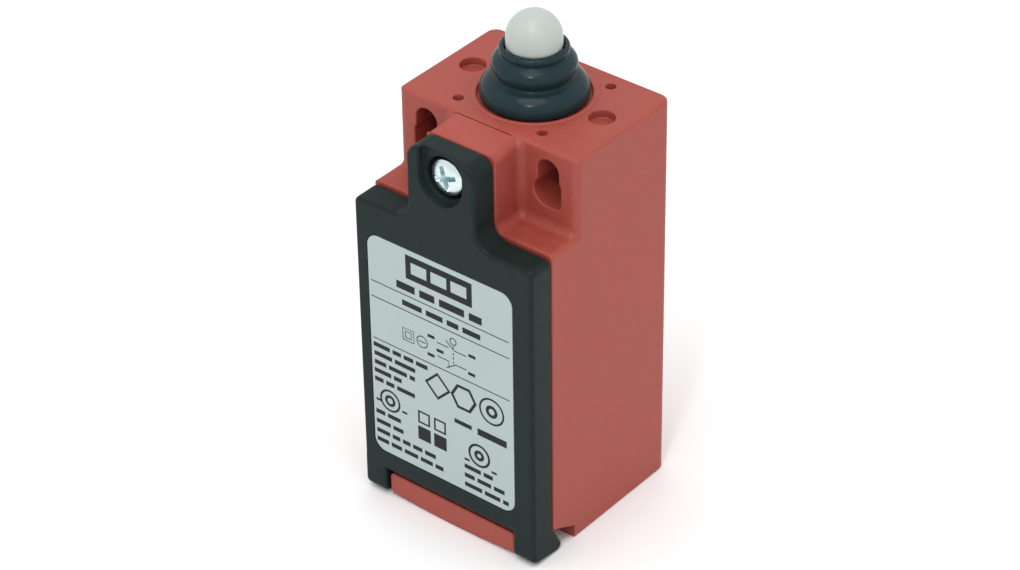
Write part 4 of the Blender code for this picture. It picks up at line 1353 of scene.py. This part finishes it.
def make_bridge(node):
    """Springy bridge, waisted in the middle, with round ends."""
    low, high = extent(node)
    waist = 1.35
    wide = (high.y - low.y) / 2
    right = [(high.x, wide, 1.6), (3.6, wide, 0.6), (2.9, waist, 0.8)]
    upper = right + [(-x, y, r) for x, y, r in reversed(right)]
    lower = [(-x, -y, r) for x, y, r in upper]
    outline = [(x, AXIS_Y + y) for x, y in rounded(upper + lower)]
    bridge = prism(f"{node}_plate", outline, "XY", low.z, high.z)
    soften(bridge, 0.08, 2)
    hand_over(bridge, "carrier", node, "brass")


def make_moving_contacts():
    for pair, domed_top in (("no", False), ("nc", True)):
        make_bridge(f"bridge_{pair}")
        for side, end in ((-1, "left"), (1, "right")):
            make_rivet(f"moving_contact_{pair}_{end}", "carrier", side, domed_top)


def make_spring(node, body, radius, wire, turns):
    """A coil from its node's bottom to its top, riding the given body."""
    low, high = extent(node)
    spring = coil(f"{node}_coil", (0, AXIS_Y), low.z, high.z, radius, wire, turns)
    hand_over(spring, body, node, "spring_steel", smooth_angle=ROUND_SMOOTH_ANGLE)
    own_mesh(spring)


def make_springs():
    """Each spring's node, body, radius, wire and turns."""
    make_spring("plunger_spring", "housing", 3.35, 0.7, 6.5)
    make_spring("overtravel_spring", "carrier", 1.3, 0.35, 4.0)
    make_spring("return_spring", "housing", 2.2, 0.45, 4.5)


# --- Studio ---
CAMERA_TARGET = (-3.42, 3.30, 29.08)
CAMERA_DISTANCE = 465.0
CAMERA_AZIMUTH = 39.405
CAMERA_ELEVATION = 34.75
CAMERA_ROLL = -0.813
CAMERA_LENS = 120.38
FLOOR_Z = 0.0
FLOOR_RADIUS = 4.0  # metres, like the lights' sizes
LIGHT_AIM_HEIGHT = 0.03
WORLD_STRENGTH = 0.95


def direction(azimuth, elevation):
    """Unit vector from the object towards a viewer at these angles."""
    around = math.radians(azimuth)
    up = math.radians(elevation)
    return Vector((math.sin(around) * math.cos(up), -math.cos(around) * math.cos(up), math.sin(up)))


def make_camera():
    data = bpy.data.cameras.new("camera")
    data.lens = CAMERA_LENS
    data.clip_start = 0.01
    data.clip_end = 20.0
    camera = linked("camera", data)
    back = direction(CAMERA_AZIMUTH, CAMERA_ELEVATION)
    camera.location = (Vector(CAMERA_TARGET) + back * CAMERA_DISTANCE) * MM
    level = (-back).to_track_quat("-Z", "Y").to_matrix()
    roll = Matrix.Rotation(math.radians(CAMERA_ROLL), 3, "Z")
    camera.rotation_euler = (level @ roll).to_euler()
    bpy.context.scene.camera = camera


def make_light(name, azimuth, elevation, distance, size, power):
    data = bpy.data.lights.new(name, "AREA")
    data.shape = "DISK"
    data.size = size
    data.energy = power
    lamp = linked(name, data)
    towards = direction(azimuth, elevation)
    lamp.location = towards * distance + Vector((0, 0, LIGHT_AIM_HEIGHT))
    lamp.rotation_euler = towards.to_track_quat("Z", "Y").to_euler()


def make_floor():
    shape = bmesh.new()
    bmesh.ops.create_circle(shape, cap_ends=True, segments=64, radius=FLOOR_RADIUS)
    floor = mesh_object("floor", shape)
    floor.location.z = FLOOR_Z * MM
    floor.data.materials.append(floor_paint())


def make_studio():
    make_camera()
    make_floor()
    world = bpy.data.worlds.new("studio")
    world.use_nodes = True
    background = world.node_tree.nodes["Background"]
    background.inputs["Color"].default_value = (1.0, 1.0, 1.0, 1.0)
    background.inputs["Strength"].default_value = WORLD_STRENGTH
    bpy.context.scene.world = world
    bpy.context.scene.view_settings.view_transform = "Standard"
    make_light("overhead", 20, 78, 0.8, 0.5, 1.6)
    make_light("front", 25, 55, 0.6, 0.06, 0.5)


make_housing()
make_insert()
make_cover()
make_label()
make_gasket()
make_print()
make_screws()
make_washer()
make_plunger()
make_boot()
make_bush()
make_clip()
make_block_base()
make_block_lid()
make_terminals()
make_pusher()
make_carrier()
make_moving_contacts()
make_springs()
make_studio()
